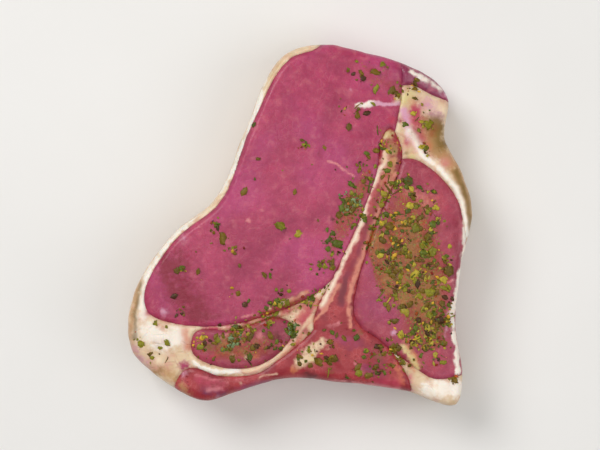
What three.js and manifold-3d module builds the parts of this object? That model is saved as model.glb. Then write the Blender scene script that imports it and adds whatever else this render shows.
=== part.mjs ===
// A raw lamb loin chop, marinated with chopped herbs, lying flat on one of its two cut faces.
// Millimetres, +Z up. The chop's underside is the plane z = 0 and its outline is centred on x = 0, y = 0.
// +Y runs to the flank end, -X to the fat of the back, and -Y to the sawn middle of the spine.
// Every tissue is cut straight through the chop: each is the slab of the whole chop, kept inside that
// tissue's own outline, with its upper edge rolled over and a thin gap to its neighbours.

import * as THREE from "three";
import { mergeVertices } from "three/addons/utils/BufferGeometryUtils.js";
import Module from "manifold-3d";

const wasm = await Module();
wasm.setup();

// ---------------------------------------------------------------- driving dimensions

const thickness = 16; // of the slab, before the swell of its muscles
const gap = 0.3; // between neighbouring tissues
const outlineStep = 2; // spacing of the points round the whole chop
const tissueStep = 1.8; // spacing of the points round one tissue
const overshoot = 6; // how far a tissue's wall runs out of the slab, above and below

// The side of the slab, from its underside up: how far it stands in from the outline, and its height.
const sideProfile = [
  { inset: 1.1, height: 0 },
  { inset: 0.3, height: 0.9 },
  { inset: 0, height: 3.2 },
  { inset: 0.45, height: 12.6, followsTop: true },
  { inset: 0.8, drop: 1.3 },
  { inset: 1.5, drop: 0.5 },
  { inset: 2.6, drop: 0 },
];
const innerRings = 6; // from the shoulder to the middle

// The rolled upper edge of a tissue: how far it stands in from the tissue's wall at each drop.
const rolledEdge = [
  { inset: 0, drop: 0.8 },
  { inset: 0.3, drop: 0.25 },
  { inset: 1.0, drop: -0.1 },
];

// Where the upper face swells or sinks: centre, reach along x and y, and rise.
const swells = [
  { centre: [-6, 12], reach: [16, 22], rise: 1.3 }, // middle of the loin eye
  { centre: [-22, -12], reach: [10, 9], rise: 0.7 }, // its thick lower corner
  { centre: [26, -10], reach: [8, 16], rise: 1.2 }, // tenderloin
  { centre: [-12, -26], reach: [9, 5], rise: 0.5 }, // chine muscle
  { centre: [31, 28], reach: [11, 12], rise: -3.4 }, // flank end, which thins out
  { centre: [-34, -30], reach: [9, 9], rise: -1.2 }, // corner of the back fat
  { centre: [8, -34], reach: [16, 5], rise: -0.7 }, // sawn edge of the spine
];

// Outlines seen from above, each a closed smooth curve through a few points. A tissue that reaches the
// chop's edge is drawn past it, and one that is cut by a neighbour is drawn under it.
const chopOutline = [
  [-4, 36], [4, 38.5], [14, 37], [28.7, 31.6], [32, 27], [31.2, 18.5], [35, 10.5], [37, 2.5],
  [34.5, -9], [33.3, -20.5], [34.8, -33], [33, -38.5], [21.5, -35.5], [8.5, -34], [-2.5, -33],
  [-13.5, -36], [-20.5, -37.8], [-31, -32.2], [-36.5, -26], [-36, -15.5], [-28.5, -3],
  [-18.5, 5.5], [-12.5, 18.5], [-8, 30],
];
const middle = [3, -3]; // the point that every ray from which meets the outline once

const outlines = {
  process: [
    [19, 20.4], [21.4, 15.5], [20.5, 10.6], [18.1, 5.4], [16, 0.5], [13.8, -6.3], [11.9, -12.5],
    [11.3, -19], [14.5, -25], [8.5, -28], [3, -22.5], [3.7, -17.3], [6.8, -11.5], [10, -4.7], [13.4, 3],
    [16.2, 11], [17, 17],
  ],
  body: [
    [4, -24], [7, -20.5], [14, -22.5], [19, -26.5], [23.2, -34], [22.5, -40], [8.5, -41], [-0.5, -39],
    [-0.5, -29.5],
  ],
  spine: [
    [-24.5, -30.8], [-22, -30.2], [-17, -31.8], [-9.5, -31.5], [-3.5, -27.8], [0.5, -24.5], [4, -21.5],
    [5.5, -36], [0, -41], [-15, -43.5], [-26, -41.5], [-26.5, -34.5],
  ],
  eye: [
    [-2.5, 34.5], [3.5, 37], [8, 42], [20, 38], [21.5, 29], [20.5, 22], [18, 12.5], [14, 1.5], [10, -7],
    [4, -14], [-5.5, -18.5], [-15, -21], [-25.5, -21], [-32, -18.5], [-32.5, -13.5], [-26.5, -3.5],
    [-16.5, 5], [-10.5, 20],
  ],
  chine: [
    [-22, -22.6], [-14, -22.2], [-4.5, -19.6], [-1.5, -21.4], [-3.5, -26], [-8.5, -29.5], [-16.5, -30],
    [-22.5, -27.2],
  ],
  tenderloin: [
    [22, 17], [31, 14], [37, 6], [41, -1], [42, -9], [41, -20], [40, -28], [34, -31.6], [28, -32.3],
    [23.5, -29.6], [17.5, -25.4], [10.5, -21.5], [10.3, -12], [15.5, 4],
  ],
  flankFat: [
    [17, 27], [23, 29.5], [28, 27.5], [34, 24.5], [37, 17], [40, 8], [40, -1], [37, -8], [34.8, -2],
    [33.2, 5], [29, 10.5], [24, 13.8], [18, 14], [16, 21],
  ],
  flankMuscle: [
    [17, 42], [29, 38], [37, 30], [34.5, 23.5], [28, 27.5], [20, 30],
  ],
  cornerFat: [
    [18.5, -25], [28, -29], [38, -28.5], [41, -37], [36, -44], [26.5, -42], [20, -40], [18.5, -32],
  ],
  backFat: [
    [4, 44], [5, 37.5], [-3, 30], [-3, 5], [3, -8], [14, 3], [15, -12], [9, -24], [-2, -31], [-20, -34],
    [-28, -44], [-44, -34], [-44, -8], [-26, 12], [-14, 38],
  ],
};

// One entry for each piece: the outlines that it fills, the pieces that cut it, and its finish.
const tissues = [
  { name: "t_bone", fills: ["process", "body", "spine"], cutBy: [], colour: "#b9606a", roughness: 0.55 },
  { name: "chine_muscle", fills: ["chine"], cutBy: ["t_bone"], colour: "#a8495c", roughness: 0.35 },
  { name: "loin_eye", fills: ["eye"], cutBy: ["t_bone", "chine_muscle"], colour: "#b04f67", roughness: 0.35 },
  {
    name: "flank_fat",
    fills: ["flankFat"],
    cutBy: ["t_bone", "loin_eye"],
    colour: "#e2c9ae",
    roughness: 0.4,
  },
  {
    name: "flank_muscle",
    fills: ["flankMuscle"],
    cutBy: ["flank_fat", "loin_eye"],
    colour: "#974059",
    roughness: 0.35,
  },
  {
    name: "tenderloin",
    fills: ["tenderloin"],
    cutBy: ["t_bone", "flank_fat"],
    colour: "#ab5361",
    roughness: 0.35,
  },
  {
    name: "corner_fat",
    fills: ["cornerFat"],
    cutBy: ["t_bone", "tenderloin"],
    colour: "#e6d0b8",
    roughness: 0.4,
  },
  {
    name: "back_fat",
    fills: ["backFat"],
    cutBy: ["t_bone", "chine_muscle", "loin_eye", "tenderloin"],
    colour: "#e4cdb2",
    roughness: 0.4,
  },
];

// Drifts of chopped herbs on the upper face: centre, half-lengths along and across the drift, the turn of
// its length from +X in degrees, and how many flakes are drawn in it.
const herbDrifts = [
  { centre: [10.5, 3], reach: [15, 2.6], turn: 66, flakes: 22 }, // beside the rib-like process
  { centre: [24, -9], reach: [20, 7.5], turn: -80, flakes: 84 }, // thickly on the tenderloin
  { centre: [-12, -25.5], reach: [10, 3.5], turn: 8, flakes: 18 }, // chine muscle
  { centre: [9, -27], reach: [11, 6], turn: -14, flakes: 20 }, // spine bone
  { centre: [17, 31], reach: [9, 3], turn: -20, flakes: 6 }, // flank end
  { centre: [26, 20], reach: [4, 5], turn: 0, flakes: 4 }, // flank fat
  { centre: [-29.5, -25], reach: [4.5, 4], turn: 0, flakes: 5 }, // corner of the back fat
];
const herbSeed = 4127;

// The loin eye is nearly bare: its few flakes lie far apart, each with its own centre, length and turn.
const looseFlakes = [
  { centre: [-11.7, 6.9], length: 2.4, turn: 60 },
  { centre: [-16.3, -2.9], length: 3.2, turn: -58 },
  { centre: [-4.2, -0.3], length: 3, turn: -15 },
  { centre: [-0.4, -2], length: 2.8, turn: -30 },
  { centre: [-26.4, -15], length: 1.9, turn: 20 },
  { centre: [7.9, -4], length: 3, turn: 10 },
  { centre: [5.1, 16.1], length: 2.4, turn: 0 },
  { centre: [10.2, 20.5], length: 2, turn: 80 },
  { centre: [14, 23.4], length: 2, turn: 20 },
  { centre: [15.8, 32], length: 2.6, turn: 15 },
];
const flakeLength = { least: 1.3, most: 3.2 };
const flakeSides = 5;
const flakeThickness = 1.2; // at its middle, half of it sunk in the meat
const flakeTilt = 10; // degrees, either way
const flakeClearance = 0.4; // kept between a flake's tip and the edge of its tissue
const looseWidth = 0.6; // width of a loose flake, as a share of its length
const flakeCrowding = 0.6; // least distance between two flakes' centres, as a share of the new one's length

// ---------------------------------------------------------------- curves and heights

// Height of the slab's upper face.
function topHeight([x, y]) {
  let height = thickness;
  for (const { centre, reach, rise } of swells) {
    const u = (x - centre[0]) / reach[0];
    const v = (y - centre[1]) / reach[1];
    height += rise * Math.exp(-(u * u + v * v));
  }
  return height;
}

// A point as seen from above.
function flat([x, y]) {
  return new THREE.Vector2(x, y);
}

// Evenly spaced points on the closed smooth curve through the given ones, anticlockwise.
function smoothLoop(points, step) {
  const knots = points.map(([x, y]) => new THREE.Vector3(x, y, 0));
  const curve = new THREE.CatmullRomCurve3(knots, true, "centripetal");
  const count = Math.round(curve.getLength() / step);
  const loop = curve.getSpacedPoints(count).slice(0, count).map((p) => [p.x, p.y]);
  return THREE.ShapeUtils.area(loop.map(flat)) > 0 ? loop : loop.reverse();
}

// The loop moved inwards by a distance, or outwards by a negative one.
function insetLoop(loop, distance) {
  return loop.map(([x, y], i) => {
    const before = loop[(i + loop.length - 1) % loop.length];
    const after = loop[(i + 1) % loop.length];
    const along = new THREE.Vector2(after[0] - before[0], after[1] - before[1]).normalize();
    return [x - along.y * distance, y + along.x * distance];
  });
}

// How far a point lies inside a loop; negative outside it.
function depthInside([x, y], loop) {
  let inside = false;
  let nearest = Infinity;
  loop.forEach(([ax, ay], i) => {
    const [bx, by] = loop[(i + 1) % loop.length];
    if (ay > y !== by > y && x < ax + ((y - ay) / (by - ay)) * (bx - ax)) inside = !inside;
    const length2 = (bx - ax) ** 2 + (by - ay) ** 2;
    const t = THREE.MathUtils.clamp(((x - ax) * (bx - ax) + (y - ay) * (by - ay)) / length2, 0, 1);
    nearest = Math.min(nearest, Math.hypot(x - ax - t * (bx - ax), y - ay - t * (by - ay)));
  });
  return inside ? nearest : -nearest;
}

// ---------------------------------------------------------------- solids

function solidOf(geometry) {
  geometry.deleteAttribute("normal");
  geometry.deleteAttribute("uv");
  const merged = mergeVertices(geometry, 1e-4);
  return new wasm.Manifold(
    new wasm.Mesh({
      numProp: 3,
      vertProperties: merged.getAttribute("position").array,
      triVerts: new Uint32Array(merged.index.array),
    }),
  );
}

function geometryOf(solid) {
  const { vertProperties, triVerts } = solid.getMesh();
  const geometry = new THREE.BufferGeometry()
    .setAttribute("position", new THREE.BufferAttribute(vertProperties, 3))
    .setIndex(new THREE.BufferAttribute(triVerts, 1));
  geometry.computeVertexNormals();
  return geometry;
}

// A closed solid through rings of [x, y, z] points, from its lowest ring to its highest, with flat ends.
function loft(rings) {
  const count = rings[0].length;
  const triangles = [];
  for (let r = 0; r + 1 < rings.length; r++) {
    for (let i = 0; i < count; i++) {
      const j = (i + 1) % count;
      triangles.push([r * count + i, r * count + j, (r + 1) * count + j]);
      triangles.push([r * count + i, (r + 1) * count + j, (r + 1) * count + i]);
    }
  }
  const capOf = (ring) => THREE.ShapeUtils.triangulateShape(ring.map(flat), []);
  const last = (rings.length - 1) * count;
  for (const [a, b, c] of capOf(rings[0])) triangles.push([a, c, b]);
  for (const [a, b, c] of capOf(rings[rings.length - 1])) triangles.push([last + a, last + b, last + c]);
  const geometry = new THREE.BufferGeometry()
    .setAttribute("position", new THREE.Float32BufferAttribute(rings.flat(2), 3))
    .setIndex(triangles.flat());
  return solidOf(geometry);
}

// The whole chop before it is divided: a slab with a rounded side and a gently swollen upper face.
function chopSlab(outline) {
  const rings = sideProfile.map(({ inset, height, drop, followsTop }) =>
    insetLoop(outline, inset).map((point) => {
      const top = topHeight(point);
      if (height === undefined) return [...point, top - drop];
      return [...point, followsTop ? (height / thickness) * top : height];
    }),
  );
  const shoulder = rings[rings.length - 1];
  for (let k = 1; k <= innerRings; k++) {
    const share = k / (innerRings + 0.5);
    rings.push(
      shoulder.map(([x, y]) => {
        const point = [THREE.MathUtils.lerp(x, middle[0], share), THREE.MathUtils.lerp(y, middle[1], share)];
        return [...point, topHeight(point)];
      }),
    );
  }
  return loft(rings);
}

// The straight wall of a tissue from under the slab to above it. With roll 1 and no clearance it holds the
// tissue itself, whose upper edge turns in; with roll -1 and a clearance it is what its neighbours lose.
function tissueWall(loop, roll, clearance) {
  const straight = insetLoop(loop, -clearance);
  const rings = [straight.map((point) => [...point, -overshoot])];
  for (const { inset, drop } of rolledEdge) {
    rings.push(insetLoop(loop, roll * inset - clearance).map((point) => [...point, topHeight(point) - drop]));
  }
  const mouth = rings[rings.length - 1];
  rings.push(mouth.map(([x, y]) => [x, y, thickness + overshoot]));
  return loft(rings);
}

function fuse(solids) {
  return solids.reduce((sum, solid) => sum.add(solid));
}

// The largest of the bodies that a cut leaves.
function largestOf(solid) {
  return solid.decompose().reduce((best, body) => (body.volume() > best.volume() ? body : best));
}

// ---------------------------------------------------------------- herbs

// Even draws between 0 and 1 from a seed, the same in every run.
function drawsFrom(seed) {
  const modulus = 2147483647;
  const multiplier = 16807;
  let state = seed;
  return () => (state = (state * multiplier) % modulus) / modulus;
}

// One flake: a low five-sided bud, half sunk in the upper face.
function flakeAt([x, y], length, width, turn, tilt) {
  const chip = new THREE.SphereGeometry(0.5, flakeSides, 2).toNonIndexed();
  chip.rotateX(Math.PI / 2);
  chip.scale(length, width, flakeThickness);
  chip.rotateY(tilt);
  chip.rotateZ(turn);
  chip.translate(x, y, topHeight([x, y]));
  return solidOf(chip);
}

// Where the flakes lie: the loose ones first, then the drifts. Every flake of a drift takes the same number
// of draws, whether or not it finds a clear place, and each drift starts with its largest.
function scatterHerbs(loops) {
  const draw = drawsFrom(herbSeed);
  const flakes = [];
  for (const { centre, length, turn } of looseFlakes) {
    const owner = ownerOf(centre, length / 2 + flakeClearance, loops);
    if (!owner) throw new Error(`no room for the flake at ${centre}`);
    const solid = flakeAt(centre, length, length * looseWidth, THREE.MathUtils.degToRad(turn), 0);
    flakes.push({ owner, place: new THREE.Vector2(...centre), solid });
  }
  for (const { centre, reach, turn: driftTurn, flakes: wanted } of herbDrifts) {
    for (let n = 0; n < wanted; n++) {
      const [size, shape, facing, leaning, away, around] = Array.from({ length: 6 }, draw);
      const largest = THREE.MathUtils.lerp(flakeLength.most, flakeLength.least, n / wanted);
      const length = largest * THREE.MathUtils.lerp(0.75, 1, size);
      const [u, v] = [Math.cos(2 * Math.PI * around), Math.sin(2 * Math.PI * around)];
      const place = new THREE.Vector2(u * reach[0], v * reach[1])
        .multiplyScalar(Math.sqrt(away))
        .rotateAround(new THREE.Vector2(), THREE.MathUtils.degToRad(driftTurn))
        .add(new THREE.Vector2(...centre));
      const point = place.toArray();
      const owner = ownerOf(point, length / 2 + flakeClearance, loops);
      const crowded = flakes.some((flake) => flake.place.distanceTo(place) < length * flakeCrowding);
      if (!owner || crowded) continue;
      const width = length * THREE.MathUtils.lerp(0.45, 0.8, shape);
      const tilt = THREE.MathUtils.degToRad(flakeTilt * (2 * leaning - 1));
      flakes.push({ owner, place, solid: flakeAt(point, length, width, Math.PI * facing, tilt) });
    }
  }
  return flakes;
}

// The tissue whose top holds a point with that much room round it, if any does.
function ownerOf(point, room, loops) {
  if (depthInside(point, loops.chop) < room + rolledEdge[2].inset) return null;
  for (const { name, fills, cutBy } of tissues) {
    const cutters = tissues.filter((t) => cutBy.includes(t.name)).flatMap((t) => t.fills);
    if (cutters.some((fill) => depthInside(point, loops[fill]) > -(room + gap))) continue;
    if (fills.some((fill) => depthInside(point, loops[fill]) > room)) return name;
  }
  return null;
}

// ---------------------------------------------------------------- the chop

// The shift that centres the chop's outline on the origin.
function centringShift(outline) {
  const box = new THREE.Box2().setFromPoints(outline.map(flat));
  const centre = box.getCenter(new THREE.Vector2());
  return [-centre.x, -centre.y, 0];
}

function buildChop() {
  const loops = { chop: smoothLoop(chopOutline, outlineStep) };
  for (const [name, points] of Object.entries(outlines)) loops[name] = smoothLoop(points, tissueStep);

  const slab = chopSlab(loops.chop);
  const flakes = scatterHerbs(loops);
  const cutters = new Map();
  const chop = new THREE.Group();
  for (const { name, fills, cutBy, colour, roughness } of tissues) {
    let solid = slab.intersect(fuse(fills.map((fill) => tissueWall(loops[fill], 1, 0))));
    for (const neighbour of cutBy) solid = solid.subtract(cutters.get(neighbour));
    solid = largestOf(solid);
    const own = flakes.filter((flake) => flake.owner === name).map((flake) => flake.solid);
    if (own.length) solid = solid.add(fuse(own));
    cutters.set(name, fuse(fills.map((fill) => tissueWall(loops[fill], -1, gap))));
    const mesh = new THREE.Mesh(
      geometryOf(solid),
      new THREE.MeshStandardMaterial({ color: colour, roughness, metalness: 0 }),
    );
    mesh.name = name;
    chop.add(mesh);
  }
  chop.position.set(...centringShift(loops.chop));
  return chop;
}

export default buildChop();
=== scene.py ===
"""Dresses a raw lamb loin chop in a herb marinade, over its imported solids.

The chop lies on one cut face. Plan measures are millimetres: +Y runs to the flank end and -X to the
fat of the back. Every finished mesh is in metres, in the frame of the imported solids.
"""

from __future__ import annotations

import logging
import math
from dataclasses import dataclass
from enum import Enum
from functools import cache, cached_property
from typing import Any, Iterable, Iterator

import bmesh
import bpy
import numpy as np
from mathutils import Matrix, Vector
from mathutils.bvhtree import BVHTree

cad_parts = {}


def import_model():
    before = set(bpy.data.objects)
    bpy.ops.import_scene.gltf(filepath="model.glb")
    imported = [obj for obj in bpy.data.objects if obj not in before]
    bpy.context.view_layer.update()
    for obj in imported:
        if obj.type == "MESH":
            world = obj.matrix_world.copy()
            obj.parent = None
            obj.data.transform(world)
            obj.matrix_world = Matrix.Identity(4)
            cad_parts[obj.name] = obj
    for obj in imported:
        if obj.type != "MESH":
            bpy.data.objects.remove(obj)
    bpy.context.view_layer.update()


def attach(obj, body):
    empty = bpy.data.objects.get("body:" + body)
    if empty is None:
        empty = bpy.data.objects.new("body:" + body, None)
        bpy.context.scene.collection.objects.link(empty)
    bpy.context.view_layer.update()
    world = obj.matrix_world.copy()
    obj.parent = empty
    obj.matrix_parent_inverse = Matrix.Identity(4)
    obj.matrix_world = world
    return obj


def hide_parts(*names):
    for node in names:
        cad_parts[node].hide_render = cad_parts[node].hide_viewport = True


LOG = logging.getLogger("lamb_chop")
METRES = 0.001  # one millimetre
BODY = "root"
FIELD_HALF = 46.0  # half the side of the square in which depths are mapped, in millimetres
FIELD_STEP = 0.4  # spacing of that map

Point = tuple[float, float]
Colour = tuple[float, float, float]


def srgb(red: int, green: int, blue: int) -> Colour:
    """Turns a colour as a screen shows it into the linear one that a shader takes.

    Args:
        red: Screen red, 0 to 255.
        green: Screen green, 0 to 255.
        blue: Screen blue, 0 to 255.

    Returns:
        Linear red, green and blue.
    """

    def linear(level: int) -> float:
        """Undoes the screen's gamma for one channel."""
        share = level / 255
        return share / 12.92 if share <= 0.04045 else ((share + 0.055) / 1.055) ** 2.4

    return linear(red), linear(green), linear(blue)


def smooth_step(low: float, high: float, values: np.ndarray) -> np.ndarray:
    """Rises smoothly from 0 at low to 1 at high."""
    share = np.clip((values - low) / (high - low), 0.0, 1.0)
    return share * share * (3 - 2 * share)


class Hue(Enum):
    """Colours that the finishes and the marks on them share."""

    WHITE = srgb(244, 232, 218)
    CREAM = srgb(226, 196, 160)
    BUTTER = srgb(216, 196, 138)
    TAN = srgb(186, 142, 94)
    OLIVE = srgb(122, 94, 34)
    ORANGE = srgb(198, 108, 66)
    PINK = srgb(214, 128, 132)
    SALMON = srgb(208, 128, 106)
    LILAC = srgb(214, 156, 178)
    ROSE = srgb(180, 50, 78)
    MAGENTA = srgb(164, 48, 88)
    CRIMSON = srgb(136, 26, 52)
    BLOOD_AND_SHADE = srgb(104, 22, 30)
    PLUM = srgb(112, 30, 68)
    OIL = srgb(150, 52, 4)


class Shade(Enum):
    """Colours of the chopped bits."""

    BARK = srgb(70, 38, 10)
    OLIVE = srgb(110, 86, 10)
    FERN = srgb(82, 94, 10)
    MOSS = srgb(124, 120, 20)
    STRAW = srgb(170, 152, 44)
    SAGE = srgb(116, 136, 92)
    MUSTARD = srgb(206, 160, 44)
    RUST = srgb(170, 78, 30)
    CHILLI = srgb(136, 34, 18)


GREENS = (Shade.OLIVE, Shade.OLIVE, Shade.FERN, Shade.FERN, Shade.MOSS)
BROWNS = (Shade.BARK, Shade.OLIVE, Shade.OLIVE, Shade.MOSS)
YELLOWS = (Shade.STRAW, Shade.STRAW, Shade.MOSS, Shade.FERN)
SPICES = (Shade.BARK, Shade.RUST, Shade.MUSTARD, Shade.MUSTARD, Shade.CHILLI)


# ---------------------------------------------------------------- curves in plan


def catmull_rom(knots: np.ndarray, closed: bool, per_span: int = 24) -> np.ndarray:
    """Runs a centripetal Catmull-Rom curve through knots.

    Args:
        knots: The points that the curve passes through, one a row.
        closed: Whether the curve returns to its first knot.
        per_span: Points from one knot to the next.

    Returns:
        Points along the curve, one a row.
    """
    if closed:
        padded = np.vstack([knots[-1:], knots, knots[:2]])
    else:
        padded = np.vstack([2 * knots[:1] - knots[1:2], knots, 2 * knots[-1:] - knots[-2:-1]])
    share = np.linspace(0, 1, per_span, endpoint=False)[:, None]
    spans = []
    for before, start, end, after in zip(padded, padded[1:], padded[2:], padded[3:]):
        lead, span, trail = (
            math.sqrt(math.dist(a, b)) for a, b in ((before, start), (start, end), (end, after))
        )
        leaving = span * ((start - before) / lead - (end - before) / (lead + span)) + (end - start)
        arriving = span * ((after - end) / trail - (after - start) / (span + trail)) + (end - start)
        bend = 3 * (end - start) - 2 * leaving - arriving
        twist = 2 * (start - end) + leaving + arriving
        spans.append(start + share * (leaving + share * (bend + share * twist)))
    if not closed:
        spans.append(knots[-1:])
    return np.vstack(spans)


def nearest_distance(places: np.ndarray, starts: np.ndarray, ends: np.ndarray) -> np.ndarray:
    """Measures from each place to the nearest of some straight stretches.

    Args:
        places: Points in plan, one a row.
        starts: Where each stretch begins, one a row.
        ends: Where each stretch ends, one a row.

    Returns:
        One distance for each place.
    """
    along = ends - starts
    length2 = np.maximum((along**2).sum(1), 1e-12)
    nearest = np.empty(len(places))
    batch = 4096
    for first in range(0, len(places), batch):
        chunk = places[first : first + batch, None, :] - starts[None]
        share = np.clip((chunk * along).sum(2) / length2, 0, 1)
        away = chunk - share[..., None] * along
        nearest[first : first + batch] = np.sqrt((away**2).sum(2).min(1))
    return nearest


@dataclass(frozen=True)
class Outline:
    """A closed smooth curve in plan.

    Attributes:
        knots: Points that the curve passes through.
        step: Spacing of the points that stand for it.
    """

    knots: tuple[Point, ...]
    step: float = 0.7

    @cached_property
    def loop(self) -> np.ndarray:
        """Evenly spaced points on the curve, anticlockwise."""
        fine = catmull_rom(np.array(self.knots, float), closed=True)
        closed = np.vstack([fine, fine[:1]])
        length = np.concatenate([[0], np.cumsum(np.linalg.norm(np.diff(closed, axis=0), axis=1))])
        stations = np.linspace(0, length[-1], round(length[-1] / self.step), endpoint=False)
        loop = np.stack([np.interp(stations, length, closed[:, axis]) for axis in (0, 1)], axis=1)
        following = np.roll(loop, -1, axis=0)
        area = (loop[:, 0] * following[:, 1] - loop[:, 1] * following[:, 0]).sum()
        return loop if area > 0 else loop[::-1]

    def depth(self, places: np.ndarray) -> np.ndarray:
        """Measures how far places lie inside the curve.

        Args:
            places: Points in plan, one a row.

        Returns:
            One depth for each place, negative outside.
        """
        loop, following = self.loop, np.roll(self.loop, -1, axis=0)
        inside = np.zeros(len(places), bool)
        for (ax, ay), (bx, by) in zip(loop, following):
            if ay == by:
                continue
            spans = (ay > places[:, 1]) != (by > places[:, 1])
            inside ^= spans & (places[:, 0] < ax + (places[:, 1] - ay) / (by - ay) * (bx - ax))
        distance = nearest_distance(places, loop, following)
        return np.where(inside, distance, -distance)

    @cached_property
    def _field(self) -> np.ndarray:
        """Depths on a square grid round the chop."""
        line = np.arange(-FIELD_HALF, FIELD_HALF + FIELD_STEP, FIELD_STEP)
        grid = np.stack(np.meshgrid(line, line, indexing="ij"), axis=-1)
        return self.depth(grid.reshape(-1, 2)).reshape(len(line), len(line))

    def depth_map(self, places: np.ndarray) -> np.ndarray:
        """Measures the depth of many places, by interpolation.

        Args:
            places: Points in plan, one a row.

        Returns:
            One depth for each place, negative outside.
        """
        spot = (places + FIELD_HALF) / FIELD_STEP
        cell = np.clip(np.floor(spot).astype(int), 0, len(self._field) - 2)
        (i, j), (u, v) = cell.T, (spot - cell).T
        low = self._field[i, j] * (1 - u) + self._field[i + 1, j] * u
        high = self._field[i, j + 1] * (1 - u) + self._field[i + 1, j + 1] * u
        return low * (1 - v) + high * v

    def inset(self, distance: float) -> np.ndarray:
        """Moves the curve's points inwards by a distance.

        Args:
            distance: How far they move, negative for outwards.

        Returns:
            The moved points, one a row.
        """
        along = np.roll(self.loop, -1, axis=0) - np.roll(self.loop, 1, axis=0)
        along /= np.linalg.norm(along, axis=1, keepdims=True)
        return self.loop + distance * np.stack([-along[:, 1], along[:, 0]], axis=1)


@dataclass(frozen=True)
class Unevenness:
    """Smooth noise of one size, the same in every run.

    Attributes:
        size: Spacing of its lumps.
        seed: Which of its variants it is.
    """

    size: float
    seed: int

    def at(self, places: np.ndarray) -> np.ndarray:
        """Gives the noise at points in plan or in space.

        Args:
            places: Points of 2 or 3 coordinates, one a row.

        Returns:
            One level for each place, between -1 and 1.
        """
        side = 32
        lattice = np.random.default_rng(self.seed).uniform(-1, 1, (side,) * 3)
        spot = np.zeros((len(places), 3))
        spot[:, : places.shape[1]] = places / self.size + side
        cell = np.floor(spot).astype(int)
        share = spot - cell
        share = share * share * (3 - 2 * share)
        level = np.zeros(len(places))
        for corner in np.ndindex(2, 2, 2):
            weight = np.where(np.array(corner) == 1, share, 1 - share).prod(1)
            x, y, z = ((cell + np.array(corner)) % side).T
            level += weight * lattice[x, y, z]
        return level


@dataclass(frozen=True)
class Mark:
    """A soft ragged mark on a tissue, along a line or round one spot.

    Attributes:
        hue: Its colour.
        knots: Points that its middle passes through.
        reach: How far from its middle it fades out.
        strength: How much of it shows at its middle.
        proud: How far it stands up.
    """

    hue: Hue
    knots: tuple[Point, ...]
    reach: float
    strength: float = 1.0
    proud: float = 0.0

    def level(self, plan: np.ndarray) -> np.ndarray:
        """Gives how strongly the mark shows.

        Args:
            plan: Points in plan, one a row.

        Returns:
            One level for each place, from 0 to 1.
        """
        knots = np.array(self.knots, float)
        line = catmull_rom(knots, closed=False, per_span=8) if len(knots) > 1 else np.vstack([knots, knots])
        away = nearest_distance(plan, line[:-1], line[1:]) / self.reach
        return np.exp(-2.2 * away**2)


# How the edges of marks wander: the spacing of the waves, how far they reach, and their seeds.
WAVES = ((2.6, 0.3, (5, 6)), (0.8, 0.22, (7, 8)))
THIN_PATCHES = Unevenness(1.3, 9)


@dataclass
class StainAndHighlight:
    """What all the marks of a tissue make together, painted highlights among them, for each of its vertices.

    Attributes:
        colour: The marks' colour, one row a vertex.
        shows: How much of it shows, 0 to 1.
        rise: How far the marks stand up.
    """

    colour: np.ndarray
    shows: np.ndarray
    rise: np.ndarray

    @classmethod
    def blended(cls, marks: Iterable[Mark], plan: np.ndarray) -> StainAndHighlight:
        """Lays marks over each other in their order, with wandering edges and thin patches.

        Args:
            marks: The marks, the lowest first.
            plan: The vertices in plan, one a row.

        Returns:
            What the marks make together, painted highlights among them. Round a mark it already has the
            mark's colour, so that no edge turns dark.
        """
        wandering = plan
        for size, reach, seeds in WAVES:
            waves = [reach * Unevenness(size, seed).at(plan) for seed in seeds]
            wandering = wandering + np.column_stack(waves)
        patchy = 1 - 0.5 * np.maximum(THIN_PATCHES.at(plan), 0)
        stain_and_highlight = cls(np.zeros((len(plan), 3)), np.zeros(len(plan)), np.zeros(len(plan)))
        for mark in marks:
            level = mark.level(wandering)
            stain_and_highlight.rise += mark.proud * level
            level *= mark.strength * patchy
            stain_and_highlight.shows += level - stain_and_highlight.shows * level
            share = level / np.maximum(stain_and_highlight.shows, 1e-9)
            stain_and_highlight.colour += share[:, None] * (np.array(mark.hue.value) - stain_and_highlight.colour)
        return stain_and_highlight


# ---------------------------------------------------------------- the chop in plan

CHOP = Outline(
    (
        (-4, 36), (4, 38.5), (14, 37), (28.7, 31.6), (32, 27), (31.2, 18.5), (35, 10.5), (37, 2.5),
        (34.5, -9), (33.3, -20.5), (34.8, -33), (33, -38.5), (21.5, -35.5), (8.5, -34), (-2.5, -33),
        (-13.5, -36), (-20.5, -37.8), (-31, -32.2), (-36.5, -26), (-36, -15.5), (-28.5, -3),
        (-18.5, 5.5), (-12.5, 18.5), (-8, 30),
    )
)  # fmt: skip


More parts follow.
